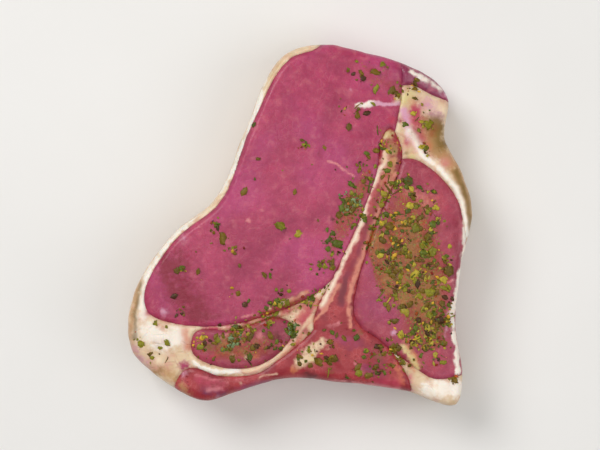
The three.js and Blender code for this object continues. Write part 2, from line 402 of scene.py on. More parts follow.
class Fill(Enum):
    """The outlines that the tissues fill, some of them drawn under their neighbours."""

    PROCESS = Outline(
        (
            (19, 20.4), (21.4, 15.5), (20.5, 10.6), (18.1, 5.4), (16, 0.5), (13.8, -6.3), (11.9, -12.5),
            (11.3, -19), (14.5, -25), (8.5, -28), (3, -22.5), (3.7, -17.3), (6.8, -11.5), (10, -4.7),
            (13.4, 3), (16.2, 11), (17, 17),
        )
    )  # fmt: skip
    BODY = Outline(
        (
            (4, -24), (7, -20.5), (14, -22.5), (19, -26.5), (23.2, -34), (22.5, -40), (8.5, -41),
            (-0.5, -39), (-0.5, -29.5),
        )
    )  # fmt: skip
    SPINE = Outline(
        (
            (-24.5, -30.8), (-22, -30.2), (-17, -31.8), (-9.5, -31.5), (-3.5, -27.8), (0.5, -24.5),
            (4, -21.5), (5.5, -36), (0, -41), (-15, -43.5), (-26, -41.5), (-26.5, -34.5),
        )
    )  # fmt: skip
    EYE = Outline(
        (
            (-2.5, 34.5), (3.5, 37), (8, 42), (20, 38), (21.5, 29), (20.5, 22), (18, 12.5), (14, 1.5),
            (10, -7), (4, -14), (-5.5, -18.5), (-15, -21), (-25.5, -21), (-32, -18.5), (-32.5, -13.5),
            (-26.5, -3.5), (-16.5, 5), (-10.5, 20),
        )
    )  # fmt: skip
    CHINE = Outline(
        (
            (-22, -22.6), (-14, -22.2), (-4.5, -19.6), (-1.5, -21.4), (-3.5, -26), (-8.5, -29.5),
            (-16.5, -30), (-22.5, -27.2),
        )
    )  # fmt: skip
    TENDERLOIN = Outline(
        (
            (22, 17), (31, 14), (37, 6), (41, -1), (42, -9), (41, -20), (40, -28), (34, -31.6),
            (28, -32.3), (23.5, -29.6), (17.5, -25.4), (10.5, -21.5), (10.3, -12), (15.5, 4),
        )
    )  # fmt: skip
    FLANK_FAT = Outline(
        (
            (17, 27), (23, 29.5), (28, 27.5), (34, 24.5), (37, 17), (40, 8), (40, -1), (37, -8),
            (34.8, -2), (33.2, 5), (29, 10.5), (24, 13.8), (18, 14), (16, 21),
        )
    )  # fmt: skip
    FLANK_MUSCLE = Outline(((17, 42), (29, 38), (37, 30), (34.5, 23.5), (28, 27.5), (20, 30)))
    CORNER_FAT = Outline(
        ((18.5, -25), (28, -29), (38, -28.5), (41, -37), (36, -44), (26.5, -42), (20, -40), (18.5, -32))
    )
    BACK_FAT = Outline(
        (
            (4, 44), (5, 37.5), (-3, 30), (-3, 5), (3, -8), (14, 3), (15, -12), (9, -24), (-2, -31),
            (-20, -34), (-28, -44), (-44, -34), (-44, -8), (-26, 12), (-14, 38),
        )
    )  # fmt: skip

    @property
    def outline(self) -> Outline:
        """The outline itself."""
        return self.value


def deepest(fills: Iterable[Fill], plan: np.ndarray) -> np.ndarray:
    """Measures how far a few places lie inside the union of some fills."""
    return np.max([fill.outline.depth(plan) for fill in fills], axis=0)


def deepest_map(fills: Iterable[Fill], plan: np.ndarray) -> np.ndarray:
    """Measures how far many places lie inside the union of some fills."""
    return np.max([fill.outline.depth_map(plan) for fill in fills], axis=0)


@dataclass(frozen=True)
class Swell:
    """A place where the upper face rises or sinks.

    Attributes:
        centre: Its middle.
        reach: How far it spreads along x and y.
        rise: Its height, negative for a hollow.
    """

    centre: Point
    reach: Point
    rise: float


@dataclass(frozen=True)
class UpperFace:
    """The height of the chop's upper face.

    Attributes:
        thickness: The slab's, before its muscles swell.
        swells: Where it rises or sinks.
    """

    thickness: float = 16.0
    swells: tuple[Swell, ...] = (
        Swell((-6, 12), (16, 22), 1.3),  # middle of the loin eye
        Swell((-22, -12), (10, 9), 0.7),  # its thick lower corner
        Swell((26, -10), (8, 16), 1.2),  # tenderloin
        Swell((-12, -26), (9, 5), 0.5),  # chine muscle
        Swell((31, 28), (11, 12), -3.4),  # flank end, which thins out
        Swell((-34, -30), (9, 9), -1.2),  # corner of the back fat
        Swell((8, -34), (16, 5), -0.7),  # sawn edge of the spine
    )

    def height(self, plan: np.ndarray) -> np.ndarray:
        """Gives the height of the upper face.

        Args:
            plan: Points in plan, one a row.

        Returns:
            One height for each place.
        """
        height = np.full(len(plan), self.thickness)
        for swell in self.swells:
            away = (plan - np.array(swell.centre)) / np.array(swell.reach)
            height += swell.rise * np.exp(-(away**2).sum(1))
        return height


FACE = UpperFace()


def to_frame() -> Matrix:
    """Gives the move from plan millimetres to the frame, where the chop's outline is centred."""
    low, high = CHOP.loop.min(0), CHOP.loop.max(0)
    return Matrix.Scale(METRES, 4) @ Matrix.Translation(Vector((*(-(low + high) / 2), 0)))


# ---------------------------------------------------------------- materials


@dataclass(frozen=True)
class Value:
    """A number on its way through a material's nodes; an expression on it adds Math nodes."""

    graph: Graph
    socket: bpy.types.NodeSocket

    def __add__(self, other: Value | float) -> Value:
        """Adds."""
        return self.graph.math("ADD", self, other)

    def __sub__(self, other: Value | float) -> Value:
        """Takes away."""
        return self.graph.math("SUBTRACT", self, other)

    def __rsub__(self, other: float) -> Value:
        """Takes this from a number."""
        return self.graph.math("SUBTRACT", other, self)

    def __mul__(self, other: Value | float) -> Value:
        """Multiplies."""
        return self.graph.math("MULTIPLY", self, other)

    __radd__ = __add__
    __rmul__ = __mul__

    def rise(self, low: float, high: float) -> Value:
        """Turns the number into a share that changes smoothly.

        Args:
            low: The number at which the share is 0.
            high: The number at which it is 1, which may be the lower.

        Returns:
            The share.
        """
        node = self.graph.node(
            "MapRange",
            {"interpolation_type": "SMOOTHSTEP"},
            {"Value": self, "From Min": low, "From Max": high},
        )
        return Value(self.graph, node.outputs["Result"])


class Measure(Enum):
    """Which distance a pattern of cells gives."""

    TO_EDGE = "DISTANCE_TO_EDGE"
    TO_CENTRE = "F1"


class Graph:
    """The nodes of one material."""

    def __init__(self, name: str) -> None:
        """Starts a material without nodes.

        Args:
            name: The material's name.
        """
        self.material = bpy.data.materials.new(name)
        self.material.use_nodes = True
        self.material.node_tree.nodes.clear()

    def node(
        self,
        kind: str,
        settings: dict[str, Any] | None = None,
        sockets: dict[str | int, Any] | None = None,
    ) -> bpy.types.Node:
        """Adds one node.

        Args:
            kind: Its type, without the words that all shader nodes start with.
            settings: Its own settings, which are set before its sockets.
            sockets: Values or links of its inputs, by name or number.

        Returns:
            The node.
        """
        node = self.material.node_tree.nodes.new(f"ShaderNode{kind}")
        for name, setting in (settings or {}).items():
            setattr(node, name, setting)
        for name, content in (sockets or {}).items():
            socket = node.inputs[name]
            if isinstance(content, Value):
                self.material.node_tree.links.new(content.socket, socket)
            elif socket.type == "RGBA":
                socket.default_value = (*content, 1.0)
            else:
                socket.default_value = content
        return node

    def math(self, operation: str, *operands: Value | float) -> Value:
        """Adds a Math node on some operands."""
        node = self.node("Math", {"operation": operation}, dict(enumerate(operands)))
        return Value(self, node.outputs[0])

    def attribute(self, name: str, output: str = "Fac") -> Value:
        """Reads what the mesh keeps for each vertex: a number, or its colour from the output Color."""
        return Value(self, self.node("Attribute", {"attribute_name": name}).outputs[output])

    def place(self, stretch: tuple[float, float, float] = (1, 1, 1)) -> Value:
        """Gives the place on the chop in millimetres.

        Args:
            stretch: What each of its coordinates is multiplied by.

        Returns:
            The place, as a vector.
        """
        source = Value(self, self.node("TexCoord").outputs["Object"])
        scale = tuple(share / METRES for share in stretch)
        node = self.node("VectorMath", {"operation": "MULTIPLY"}, {0: source, 1: scale})
        return Value(self, node.outputs[0])

    def noise(self, place: Value, size: float, detail: float = 2.0, warp: float = 0.0) -> Value:
        """Adds cloudy noise.

        Args:
            place: Where it is read, in millimetres.
            size: Spacing of its lumps, in millimetres.
            detail: How many finer layers it has.
            warp: How much it is swirled.

        Returns:
            Its level, mostly between 0.25 and 0.75.
        """
        sockets = {"Vector": place, "Scale": 1 / size, "Detail": detail, "Distortion": warp}
        return Value(self, self.node("TexNoise", {}, sockets).outputs[0])

    def cells(self, place: Value, size: float, measure: Measure = Measure.TO_EDGE) -> Value:
        """Adds a pattern of cells.

        Args:
            place: Where it is read, in millimetres.
            size: Spacing of the cells, in millimetres.
            measure: Which distance it gives.

        Returns:
            The distance, as a share of the cells' size.
        """
        sockets = {"Vector": place, "Scale": 1 / size}
        node = self.node("TexVoronoi", {"feature": measure.value}, sockets)
        return Value(self, node.outputs["Distance"])

    def mix(self, share: Value | float, first: Value | Colour, second: Value | Colour) -> Value:
        """Mixes two colours.

        Args:
            share: How much of the second shows.
            first: The colour at share 0.
            second: The colour at share 1.

        Returns:
            The mixed colour.
        """
        # A Mix node's sockets 6 and 7 take its colours, and its output 2 gives theirs.
        node = self.node("Mix", {"data_type": "RGBA", "clamp_factor": True}, {0: share, 6: first, 7: second})
        return Value(self, node.outputs[2])

    def stained_and_highlit(self, colour: Value, place: Value) -> tuple[Value, Value]:
        """Lays the tissue's marks, painted highlights among them, over a colour.

        Args:
            colour: The colour under them.
            place: The place in millimetres.

        Returns:
            The colour, and how much of a mark shows.
        """
        shows = (self.attribute("stained_and_highlit") + (self.noise(place, 0.7, 3) - 0.5) * 0.7).rise(0.18, 0.8)
        return self.mix(shows, colour, self.attribute("stain_and_highlight", "Color")), shows

    def marinated(self, colour: Value, place: Value) -> tuple[Value, Value]:
        """Lays the marinade's oil and its finest dust over a colour.

        Args:
            colour: The colour under it.
            place: The place in millimetres.

        Returns:
            The colour, and how oily it is.
        """
        cover = self.attribute("cover")
        oil = (cover * 0.95 + self.noise(place, 3.2, 3) * 0.9).rise(0.6, 1.2)
        colour = self.mix(oil * 0.8, colour, Hue.OIL.value)
        for size, shade in ((4, Shade.OLIVE), (3, Shade.STRAW), (2.6, Shade.CHILLI)):
            film = (cover * 0.6 + self.noise(place, size, 3)).rise(0.85, 1.2)
            colour = self.mix(film * 0.34, colour, shade.value)
        drifted = (cover * 0.8 + self.noise(place, 1.9, 2)).rise(0.72, 1.15)
        for size, shade in ((0.95, Shade.OLIVE), (0.7, Shade.MOSS), (0.8, Shade.RUST)):
            dust = self.cells(place, size, Measure.TO_CENTRE).rise(0.36, 0.22)
            colour = self.mix(dust * drifted * 0.8, colour, shade.value)
        return colour, oil

    def finish(
        self, surface: Surface, colour: Value, roughness: Value | float, relief: Value | None = None
    ) -> bpy.types.Material:
        """Adds the shader that takes what the other nodes make.

        Args:
            surface: What is the same all over.
            colour: Its colour.
            roughness: Its roughness.
            relief: The height of its finest relief, in millimetres, or nothing where it is flat.

        Returns:
            The finished material.
        """
        sockets = {
            "Base Color": colour,
            "Roughness": roughness,
            "Subsurface Weight": surface.depth_share,
            "Subsurface Radius": surface.depth,
            "Subsurface Scale": METRES,
            "Coat Weight": surface.wetness,
            "Coat Roughness": surface.wet_roughness,
            "IOR": surface.ior,
        }
        if relief is not None:
            bump = self.node("Bump", {}, {"Height": relief, "Strength": 1.0, "Distance": METRES})
            sockets["Normal"] = Value(self, bump.outputs["Normal"])
        shader = self.node("BsdfPrincipled", {"subsurface_method": "RANDOM_WALK"}, sockets)
        self.node("OutputMaterial", {}, {"Surface": Value(self, shader.outputs["BSDF"])})
        return self.material


@dataclass(frozen=True)
class Surface:
    """What is the same all over a finish.

    Attributes:
        depth_share: How much of the light enters it.
        depth: How far red, green and blue light spread in it, in millimetres.
        wetness: How much wet film lies on it.
        wet_roughness: How rough that film is.
        ior: Its index of refraction.
    """

    depth_share: float
    depth: tuple[float, float, float]
    wetness: float
    wet_roughness: float = 0.16
    ior: float = 1.42


@dataclass(frozen=True)
class LeanMeat:
    """Moist raw lean meat, whose fibres run upright through the chop.

    Attributes:
        name: The material's name.
        bright: Its lightest colour.
        deep: Its darkest colour.
        bloom: The colour of its broad patches.
        bundle: Spacing of its bundles of fibres, in millimetres.
        skin: The colour of the thin skin on its outer side.
        skinned: How much of that skin shows.
        surface: What is the same all over it.
    """

    name: str
    bright: Colour
    deep: Colour
    bloom: Colour
    bundle: float = 1.3
    skin: Hue = Hue.PINK
    skinned: float = 0.4
    surface: Surface = Surface(0.25, (1.6, 0.5, 0.4), 0.22, 0.2)

    def material(self) -> bpy.types.Material:
        """Builds the finish.

        Returns:
            Its material.
        """
        graph = Graph(self.name)
        place, fibres = graph.place(), graph.place((1, 1, 0.1))
        patches = graph.noise(fibres, 3, 3, 0.4)
        grain = graph.noise(fibres, 0.7, 2)
        bundles = graph.cells(fibres, self.bundle, Measure.TO_CENTRE).rise(0.75, 0.1)
        tone = graph.noise(fibres, 9, 2).rise(0.3, 0.7) * 0.45 + patches.rise(0.3, 0.7) * 0.3
        tone += grain.rise(0.3, 0.7) * 0.13 + bundles * 0.12
        colour = graph.mix(tone, self.deep, self.bright)
        colour = graph.mix(graph.noise(fibres, 14, 1).rise(0.46, 0.66) * 0.5, colour, self.bloom)
        haze = graph.noise(fibres, 1.8, 4, 0.5)
        colour = graph.mix(haze.rise(0.5, 0.76) * 0.25, colour, Hue.PINK.value)
        colour = graph.mix(haze.rise(0.5, 0.26) * 0.4, colour, self.deep)
        sheath = graph.cells(fibres, self.bundle).rise(0.1, 0) * patches.rise(0.35, 0.7)
        fine_sheath = graph.cells(fibres, self.bundle * 0.4).rise(0.12, 0) * grain.rise(0.35, 0.7)
        colour = graph.mix(sheath * 0.13 + fine_sheath * 0.09, colour, Hue.PINK.value)
        # Painted shade: the lean meat darkens towards the seams between tissues.
        seam = graph.attribute("seam").rise(0.8, 0.05) * graph.noise(place, 2.5).rise(0.35, 0.65)
        colour = graph.mix(seam * 0.35, colour, Hue.BLOOD_AND_SHADE.value)
        skin = graph.attribute("rim").rise(0.9, 0.1) * (graph.noise(place, 3.5, 4).rise(0.3, 0.7) * 0.5 + 0.5)
        colour = graph.mix(skin * self.skinned, colour, self.skin.value)
        colour, stained_and_highlit = graph.stained_and_highlit(colour, place)
        colour, oil = graph.marinated(colour, place)
        relief = grain * 0.08 - sheath * 0.04 - fine_sheath * 0.03 + bundles * 0.05 + stained_and_highlit * 0.04
        relief += graph.noise(place, 0.35, 2) * 0.02
        return graph.finish(self.surface, colour, 0.52 - oil * 0.14, relief)


@dataclass(frozen=True)
class Fat:
    """Raw white fat in soft lobules.

    Attributes:
        name: The material's name.
        white: Its lightest colour.
        cream: Its darker colour.
        pink: Its blush.
        surface: What is the same all over it.
    """

    name: str = "raw_fat"
    white: Colour = srgb(234, 210, 178)
    cream: Colour = srgb(208, 178, 138)
    pink: Colour = srgb(204, 136, 122)
    surface: Surface = Surface(0.4, (2.2, 1.4, 1.0), 0.2, 0.2)

    def material(self) -> bpy.types.Material:
        """Builds the finish.

        Returns:
            Its material.
        """
        graph = Graph(self.name)
        place = graph.place()
        clouds = graph.noise(place, 5, 3)
        lobule = graph.cells(place, 2.1).rise(0.12, 0) * graph.noise(place, 3).rise(0.35, 0.7)
        colour = graph.mix(clouds.rise(0.3, 0.7), self.cream, self.white)
        blush = graph.noise(place, 3.4, 3).rise(0.46, 0.74)
        colour = graph.mix(blush * 0.6 + lobule * 0.18, colour, self.pink)
        seam = graph.attribute("seam").rise(0.6, 0.05) * graph.noise(place, 1.6).rise(0.35, 0.65)
        colour = graph.mix(seam * 0.55, colour, self.pink)
        rind = graph.attribute("rim").rise(0.9, 0.1)
        colour = graph.mix(rind * 0.35, colour, Hue.CREAM.value)
        colour = graph.mix(rind * graph.noise(place, 6, 3).rise(0.42, 0.68) * 0.24, colour, Hue.TAN.value)
        colour, stained_and_highlit = graph.stained_and_highlit(colour, place)
        colour, oil = graph.marinated(colour, place)
        relief = clouds * 0.12 - lobule * 0.09 + graph.noise(place, 0.9, 3) * 0.06 + stained_and_highlit * 0.03
        return graph.finish(self.surface, colour, 0.46 - oil * 0.12, relief)


@dataclass(frozen=True)
class SawnBone:
    """Sawn bone: red spongy marrow, with its hard edges as marks.

    Attributes:
        name: The material's name.
        marrow: The marrow's colour.
        pale: The colour of its drier patches.
        pore: The colour of its pores.
        surface: What is the same all over it.
    """

    name: str = "sawn_bone"
    marrow: Colour = srgb(146, 22, 36)
    pale: Colour = srgb(170, 52, 56)
    pore: Colour = srgb(106, 16, 34)
    surface: Surface = Surface(0.15, (0.9, 0.4, 0.3), 0.2, 0.22, 1.5)

    def material(self) -> bpy.types.Material:
        """Builds the finish.

        Returns:
            Its material.
        """
        graph = Graph(self.name)
        place, upright = graph.place(), graph.place((1, 1, 0.35))
        clouds = graph.noise(place, 4, 4, 0.4)
        colour = graph.mix(clouds.rise(0.35, 0.68), self.marrow, self.pale)
        colour = graph.mix(graph.noise(place, 6, 2).rise(0.5, 0.7) * 0.5, colour, self.pore)
        pores = graph.cells(upright, 0.8, Measure.TO_CENTRE).rise(0.4, 0.1)
        pores = pores * graph.noise(place, 2.4).rise(0.4, 0.65)
        colour = graph.mix(pores * 0.35, colour, self.pore)
        struts = graph.cells(upright, 1.0).rise(0.08, 0) * clouds.rise(0.4, 0.65)
        colour = graph.mix(struts * 0.22, colour, Hue.PINK.value)
        hard = graph.attribute("rim").rise(0.8, 0.1) * graph.noise(place, 3, 3).rise(0.25, 0.6)
        colour = graph.mix(hard * 0.6, colour, Hue.SALMON.value)
        colour, stained_and_highlit = graph.stained_and_highlit(colour, place)
        smear = graph.noise(place, 1.3, 3).rise(0.52, 0.72)
        colour = graph.mix(smear * 0.35, colour, self.marrow)
        colour, oil = graph.marinated(colour, place)
        sawn = graph.noise(graph.place((0.25, 3.2, 0.25)), 1.0, 2)
        relief = sawn * 0.04 - pores * (1 - stained_and_highlit) * 0.1 + graph.noise(place, 0.4, 2) * 0.02
        return graph.finish(self.surface, colour, 0.55 - oil * 0.15, relief)


@dataclass(frozen=True)
class ChoppedHerb:
    """Damp chopped leaf, stalk or spice, in the shade of each bit.

    Attributes:
        name: The material's name.
        surface: What is the same all over it.
    """

    name: str
    surface: Surface = Surface(0.1, (0.4, 0.5, 0.2), 0.1, 0.3, 1.33)

    def material(self) -> bpy.types.Material:
        """Builds the finish.

        Returns:
            Its material.
        """
        graph = Graph(self.name)
        mottle = graph.noise(graph.place(), 0.45, 3)
        shade = graph.attribute("shade", "Color")
        colour = graph.mix(mottle.rise(0.6, 0.3) * 0.35, shade, Shade.BARK.value)
        colour = graph.mix(mottle.rise(0.55, 0.8) * 0.35, colour, Shade.STRAW.value)
        return graph.finish(self.surface, colour, 0.56 - mottle * 0.1, mottle * 0.06)


@cache
def made(finish: LeanMeat | Fat | SawnBone | ChoppedHerb) -> bpy.types.Material:
    """Makes the material of a finish, once for all its pieces."""
    return finish.material()


# ---------------------------------------------------------------- meshes


def linked(name: str, mesh: bpy.types.Mesh) -> bpy.types.Object:
    """Puts a mesh into the scene as an object at the origin.

    Args:
        name: The object's name.
        mesh: Its mesh.

    Returns:
        The object.
    """
    piece = bpy.data.objects.new(name, mesh)
    bpy.context.scene.collection.objects.link(piece)
    return piece


def finished_mesh(shape: bmesh.types.BMesh, name: str) -> bpy.types.Mesh:
    """Turns a bmesh into a mesh and frees it.

    Args:
        shape: The bmesh.
        name: The mesh's name.

    Returns:
        The mesh.
    """
    mesh = bpy.data.meshes.new(name)
    shape.to_mesh(mesh)
    shape.free()
    return mesh


def skinned_rings(rings: list[np.ndarray], name: str) -> bpy.types.Object:
    """Skins rings of points into a closed solid with flat ends.

    Args:
        rings: From the lowest to the highest, arrays of as many points of 3 coordinates.
        name: The solid's name.

    Returns:
        The solid.
    """
    shape = bmesh.new()
    station = shape.verts.layers.int.new("station")
    bmesh.ops.create_circle(shape, segments=len(rings[0]), radius=1)
    for index, vert in enumerate(shape.verts):
        vert[station] = index
        vert.co = rings[0][index]
    edges = list(shape.edges)
    for ring in rings[1:]:
        grown = bmesh.ops.extrude_edge_only(shape, edges=edges)["geom"]
        verts = {item for item in grown if isinstance(item, bmesh.types.BMVert)}
        edges = [
            item for item in grown if isinstance(item, bmesh.types.BMEdge) and verts.issuperset(item.verts)
        ]
        for vert in verts:
            vert.co = ring[vert[station]]
    bmesh.ops.holes_fill(shape, edges=shape.edges, sides=0)
    bmesh.ops.recalc_face_normals(shape, faces=shape.faces)
    return linked(name, finished_mesh(shape, name))


@dataclass(frozen=True)
class Slab:
    """The whole chop before it is divided, with a flat top and a rounded side.

    Attributes:
        profile: The side from the underside up: the inset from the outline, and the share of the height.
    """

    profile: tuple[Point, ...] = (
        (1.1, 0), (0.62, 0.012), (0.3, 0.056), (0.08, 0.12), (0, 0.2), (0.05, 0.42), (0.2, 0.62),
        (0.45, 0.787), (0.58, 0.87), (0.8, 0.919), (1.1, 0.95), (1.5, 0.974), (2.05, 0.992), (2.6, 1),
    )  # fmt: skip

    def build(self) -> bpy.types.Object:
        """Builds the slab.

        Returns:
            The slab, in millimetres.
        """
        rings = []
        for inset, level in self.profile:
            ring = CHOP.inset(inset)
            rings.append(np.column_stack([ring, np.full(len(ring), level * FACE.thickness)]))
        return skinned_rings(rings, "slab")


def prism(outline: Outline, grown: float) -> bpy.types.Object:
    """Builds an upright prism over an outline, past both faces of the slab.

    Args:
        outline: Its section.
        grown: How far its wall stands out from the outline.

    Returns:
        The prism, in millimetres.
    """
    ring = outline.inset(-grown)
    ends = (-5.0, FACE.thickness + 5)
    return skinned_rings([np.column_stack([ring, np.full(len(ring), end)]) for end in ends], "prism")


class Cut(Enum):
    """What one solid does to another."""

    JOIN = "UNION"
    KEEP = "INTERSECT"
    REMOVE = "DIFFERENCE"


def carve(piece: bpy.types.Object, cut: Cut, tool: bpy.types.Object) -> None:
    """Adds a Boolean modifier to a piece.

    Args:
        piece: What is changed.
        cut: Whether the tool is joined to it, or what lies in the tool is kept or removed.
        tool: The other solid.
    """
    boolean = piece.modifiers.new(cut.name.lower(), "BOOLEAN")
    boolean.operation = cut.value
    boolean.solver = "MANIFOLD"
    boolean.object = tool


def apply_modifiers(piece: bpy.types.Object) -> None:
    """Replaces a piece's mesh by what its modifiers make of it.

    Args:
        piece: The piece.
    """
    bpy.context.view_layer.update()
    evaluated = piece.evaluated_get(bpy.context.evaluated_depsgraph_get())
    mesh = bpy.data.meshes.new_from_object(evaluated)
    piece.modifiers.clear()
    piece.data = mesh


def bodies_of(shape: bmesh.types.BMesh) -> Iterator[list[bmesh.types.BMVert]]:
    """Parts a bmesh into its connected bodies.

    Args:
        shape: The bmesh.

    Yields:
        The vertices of each body.
    """
    left = set(shape.verts)
    while left:
        front = [left.pop()]
        body = list(front)
        while front:
            for edge in front.pop().link_edges:
                for vert in edge.verts:
                    if vert in left:
                        left.remove(vert)
                        body.append(vert)
                        front.append(vert)
        yield body


def plan_box_area(body: list[bmesh.types.BMVert]) -> float:
    """Gives the area of the box round a body as seen from above."""
    xs, ys = [vert.co.x for vert in body], [vert.co.y for vert in body]
    return (max(xs) - min(xs)) * (max(ys) - min(ys))


def keep_largest(mesh: bpy.types.Mesh) -> None:
    """Deletes all but the largest connected body of a mesh.

    Args:
        mesh: The mesh.
    """
    shape = bmesh.new()
    shape.from_mesh(mesh)
    for scrap in sorted(bodies_of(shape), key=plan_box_area)[:-1]:
        bmesh.ops.delete(shape, geom=scrap, context="VERTS")
    shape.to_mesh(mesh)
    shape.free()


def coordinates(mesh: bpy.types.Mesh) -> np.ndarray:
    """Reads where the vertices of a mesh are.

    Args:
        mesh: The mesh.

    Returns:
        Their places, one a row.
    """
    places = np.empty(len(mesh.vertices) * 3)
    mesh.vertices.foreach_get("co", places)
    return places.reshape(-1, 3)


def store(mesh: bpy.types.Mesh, name: str, values: np.ndarray) -> None:
    """Keeps one number for each vertex under a name."""
    layer = mesh.attributes.new(name, "FLOAT", "POINT")
    layer.data.foreach_set("value", values.astype(np.float32))


def store_colours(mesh: bpy.types.Mesh, name: str, colours: np.ndarray) -> None:
    """Keeps one colour for each vertex under a name.

    Args:
        mesh: The mesh.
        name: What a finish calls them.
        colours: The colours, one row a vertex.
    """
    layer = mesh.attributes.new(name, "FLOAT_COLOR", "POINT")
    opaque = np.column_stack([colours, np.ones(len(colours))])
    layer.data.foreach_set("color", opaque.astype(np.float32).ravel())


# ---------------------------------------------------------------- the marinade


@dataclass(frozen=True)
class Drift:
    """A drift of chopped herbs on the upper face.

    Attributes:
        centre: Its middle.
        reach: Its half-lengths along and across.
        turn: The turn of its length from +X, in degrees.
        flakes: How many large flakes are drawn in it.
        bits: How many small bits lie in it.
        oil: How thickly oil lies at its middle, from 0 to 1.
        shades: The colours of its bits.
    """

    centre: Point
    reach: Point
    turn: float
    flakes: int
    bits: int
    oil: float
    shades: tuple[Shade, ...] = GREENS

    def from_middle(self, away: float, around: float) -> np.ndarray:
        """Gives a place in the drift.

        Args:
            away: The square of its distance from the middle, 1 at the drift's edge.
            around: Its direction, as a share of a whole turn.

        Returns:
            The place in plan.
        """
        turn = math.radians(self.turn)
        along = math.cos(math.tau * around) * self.reach[0] * math.sqrt(away)
        across = math.sin(math.tau * around) * self.reach[1] * math.sqrt(away)
        x = along * math.cos(turn) - across * math.sin(turn)
        y = along * math.sin(turn) + across * math.cos(turn)
        return np.array([x, y]) + np.array(self.centre)

    def cover(self, plan: np.ndarray) -> np.ndarray:
        """Gives how thickly the drift's oil lies.

        Args:
            plan: Points in plan, one a row.

        Returns:
            One level for each place, from 0 to 1.
        """
        turn = math.radians(self.turn)
        away = plan - np.array(self.centre)
        along = (away[:, 0] * math.cos(turn) + away[:, 1] * math.sin(turn)) / self.reach[0]
        across = (away[:, 1] * math.cos(turn) - away[:, 0] * math.sin(turn)) / self.reach[1]
        return self.oil * (1 - smooth_step(0.35, 1.25, np.hypot(along, across)))


DRIFTS = (
    Drift((10.5, 3), (15, 2.6), 66, 22, 120, 0.55),  # beside the rib-like process
    Drift((24, -9), (20, 7.5), -80, 84, 600, 0.95, (*GREENS, *YELLOWS, *BROWNS)),  # thickly on the tenderloin
    Drift((-12, -25.5), (10, 3.5), 8, 18, 60, 0.6, (*GREENS, *BROWNS)),  # chine muscle
    Drift((9, -27), (11, 6), -14, 20, 110, 0.2, (*GREENS, *BROWNS)),  # spine bone
    Drift((17, 31), (9, 3), -20, 6, 40, 0.35, BROWNS),  # flank end
    Drift((26, 20), (4, 5), 0, 4, 30, 0.35, YELLOWS),  # flank fat
    Drift((-29.5, -25), (4.5, 4), 0, 5, 14, 0.2, (Shade.OLIVE, Shade.MOSS)),  # corner of the back fat
)

# Where small bits lie without large flakes.
DUSTINGS = (
    Drift((-6, 6), (32, 13), 60, 0, 110, 0.06, (*GREENS, *BROWNS)),  # thinly over the loin eye
    Drift((-5, -18.6), (12, 2.2), 24, 0, 130, 0.55, (*GREENS, *YELLOWS)),  # seam under the loin eye
    Drift((18.6, 18), (3.4, 1.8), -60, 0, 34, 0.5, YELLOWS),  # tip of the process
    Drift((10.9, 4), (3.6, 1.8), 62, 0, 60, 0.3, (Shade.OLIVE, Shade.MOSS, Shade.SAGE)),
    Drift((7.4, -4), (2.2, 1.1), -15, 0, 18, 0.2, (Shade.FERN,)),
    Drift((-14.8, -24.2), (2.4, 1.6), 35, 0, 40, 0.4, (Shade.SAGE, Shade.SAGE, Shade.FERN, Shade.OLIVE)),
    Drift((-2, -22.2), (1.3, 1.7), -20, 0, 66, 0.6, (Shade.FERN, Shade.FERN, Shade.SAGE)),
    Drift((-6.5, -19.6), (1.1, 0.7), 30, 0, 12, 0.2, (Shade.FERN, Shade.MOSS)),
    Drift((-21, -24.4), (1.3, 1), 0, 0, 16, 0.3, (Shade.MUSTARD, Shade.STRAW)),
    Drift((22.5, -5), (7, 4.5), -70, 0, 80, 0.6, (Shade.FERN, Shade.OLIVE, Shade.MUSTARD)),
    Drift((16.6, -8), (9, 2.2), -76, 0, 60, 0.95, (Shade.FERN, Shade.OLIVE, Shade.MOSS)),
    Drift((27, -20.5), (6, 3.2), -80, 0, 80, 0.6, (Shade.FERN, Shade.FERN, Shade.OLIVE, Shade.STRAW)),
    Drift((20.6, -27), (3.4, 1.2), -60, 0, 34, 0.3, (Shade.MOSS, Shade.OLIVE)),
    Drift((33.6, -31.8), (1.9, 0.7), 38, 0, 14, 0.2, (Shade.OLIVE,)),
)


def marinade_cover(plan: np.ndarray) -> np.ndarray:
    """Gives how thickly the marinade lies.

    Args:
        plan: Points in plan, one a row.

    Returns:
        One level for each place, from 0 to 1.
    """
    clear = np.ones(len(plan))
    for drift in (*DRIFTS, *DUSTINGS):
        clear *= 1 - drift.cover(plan)
    return 1 - clear


# ---------------------------------------------------------------- tissues


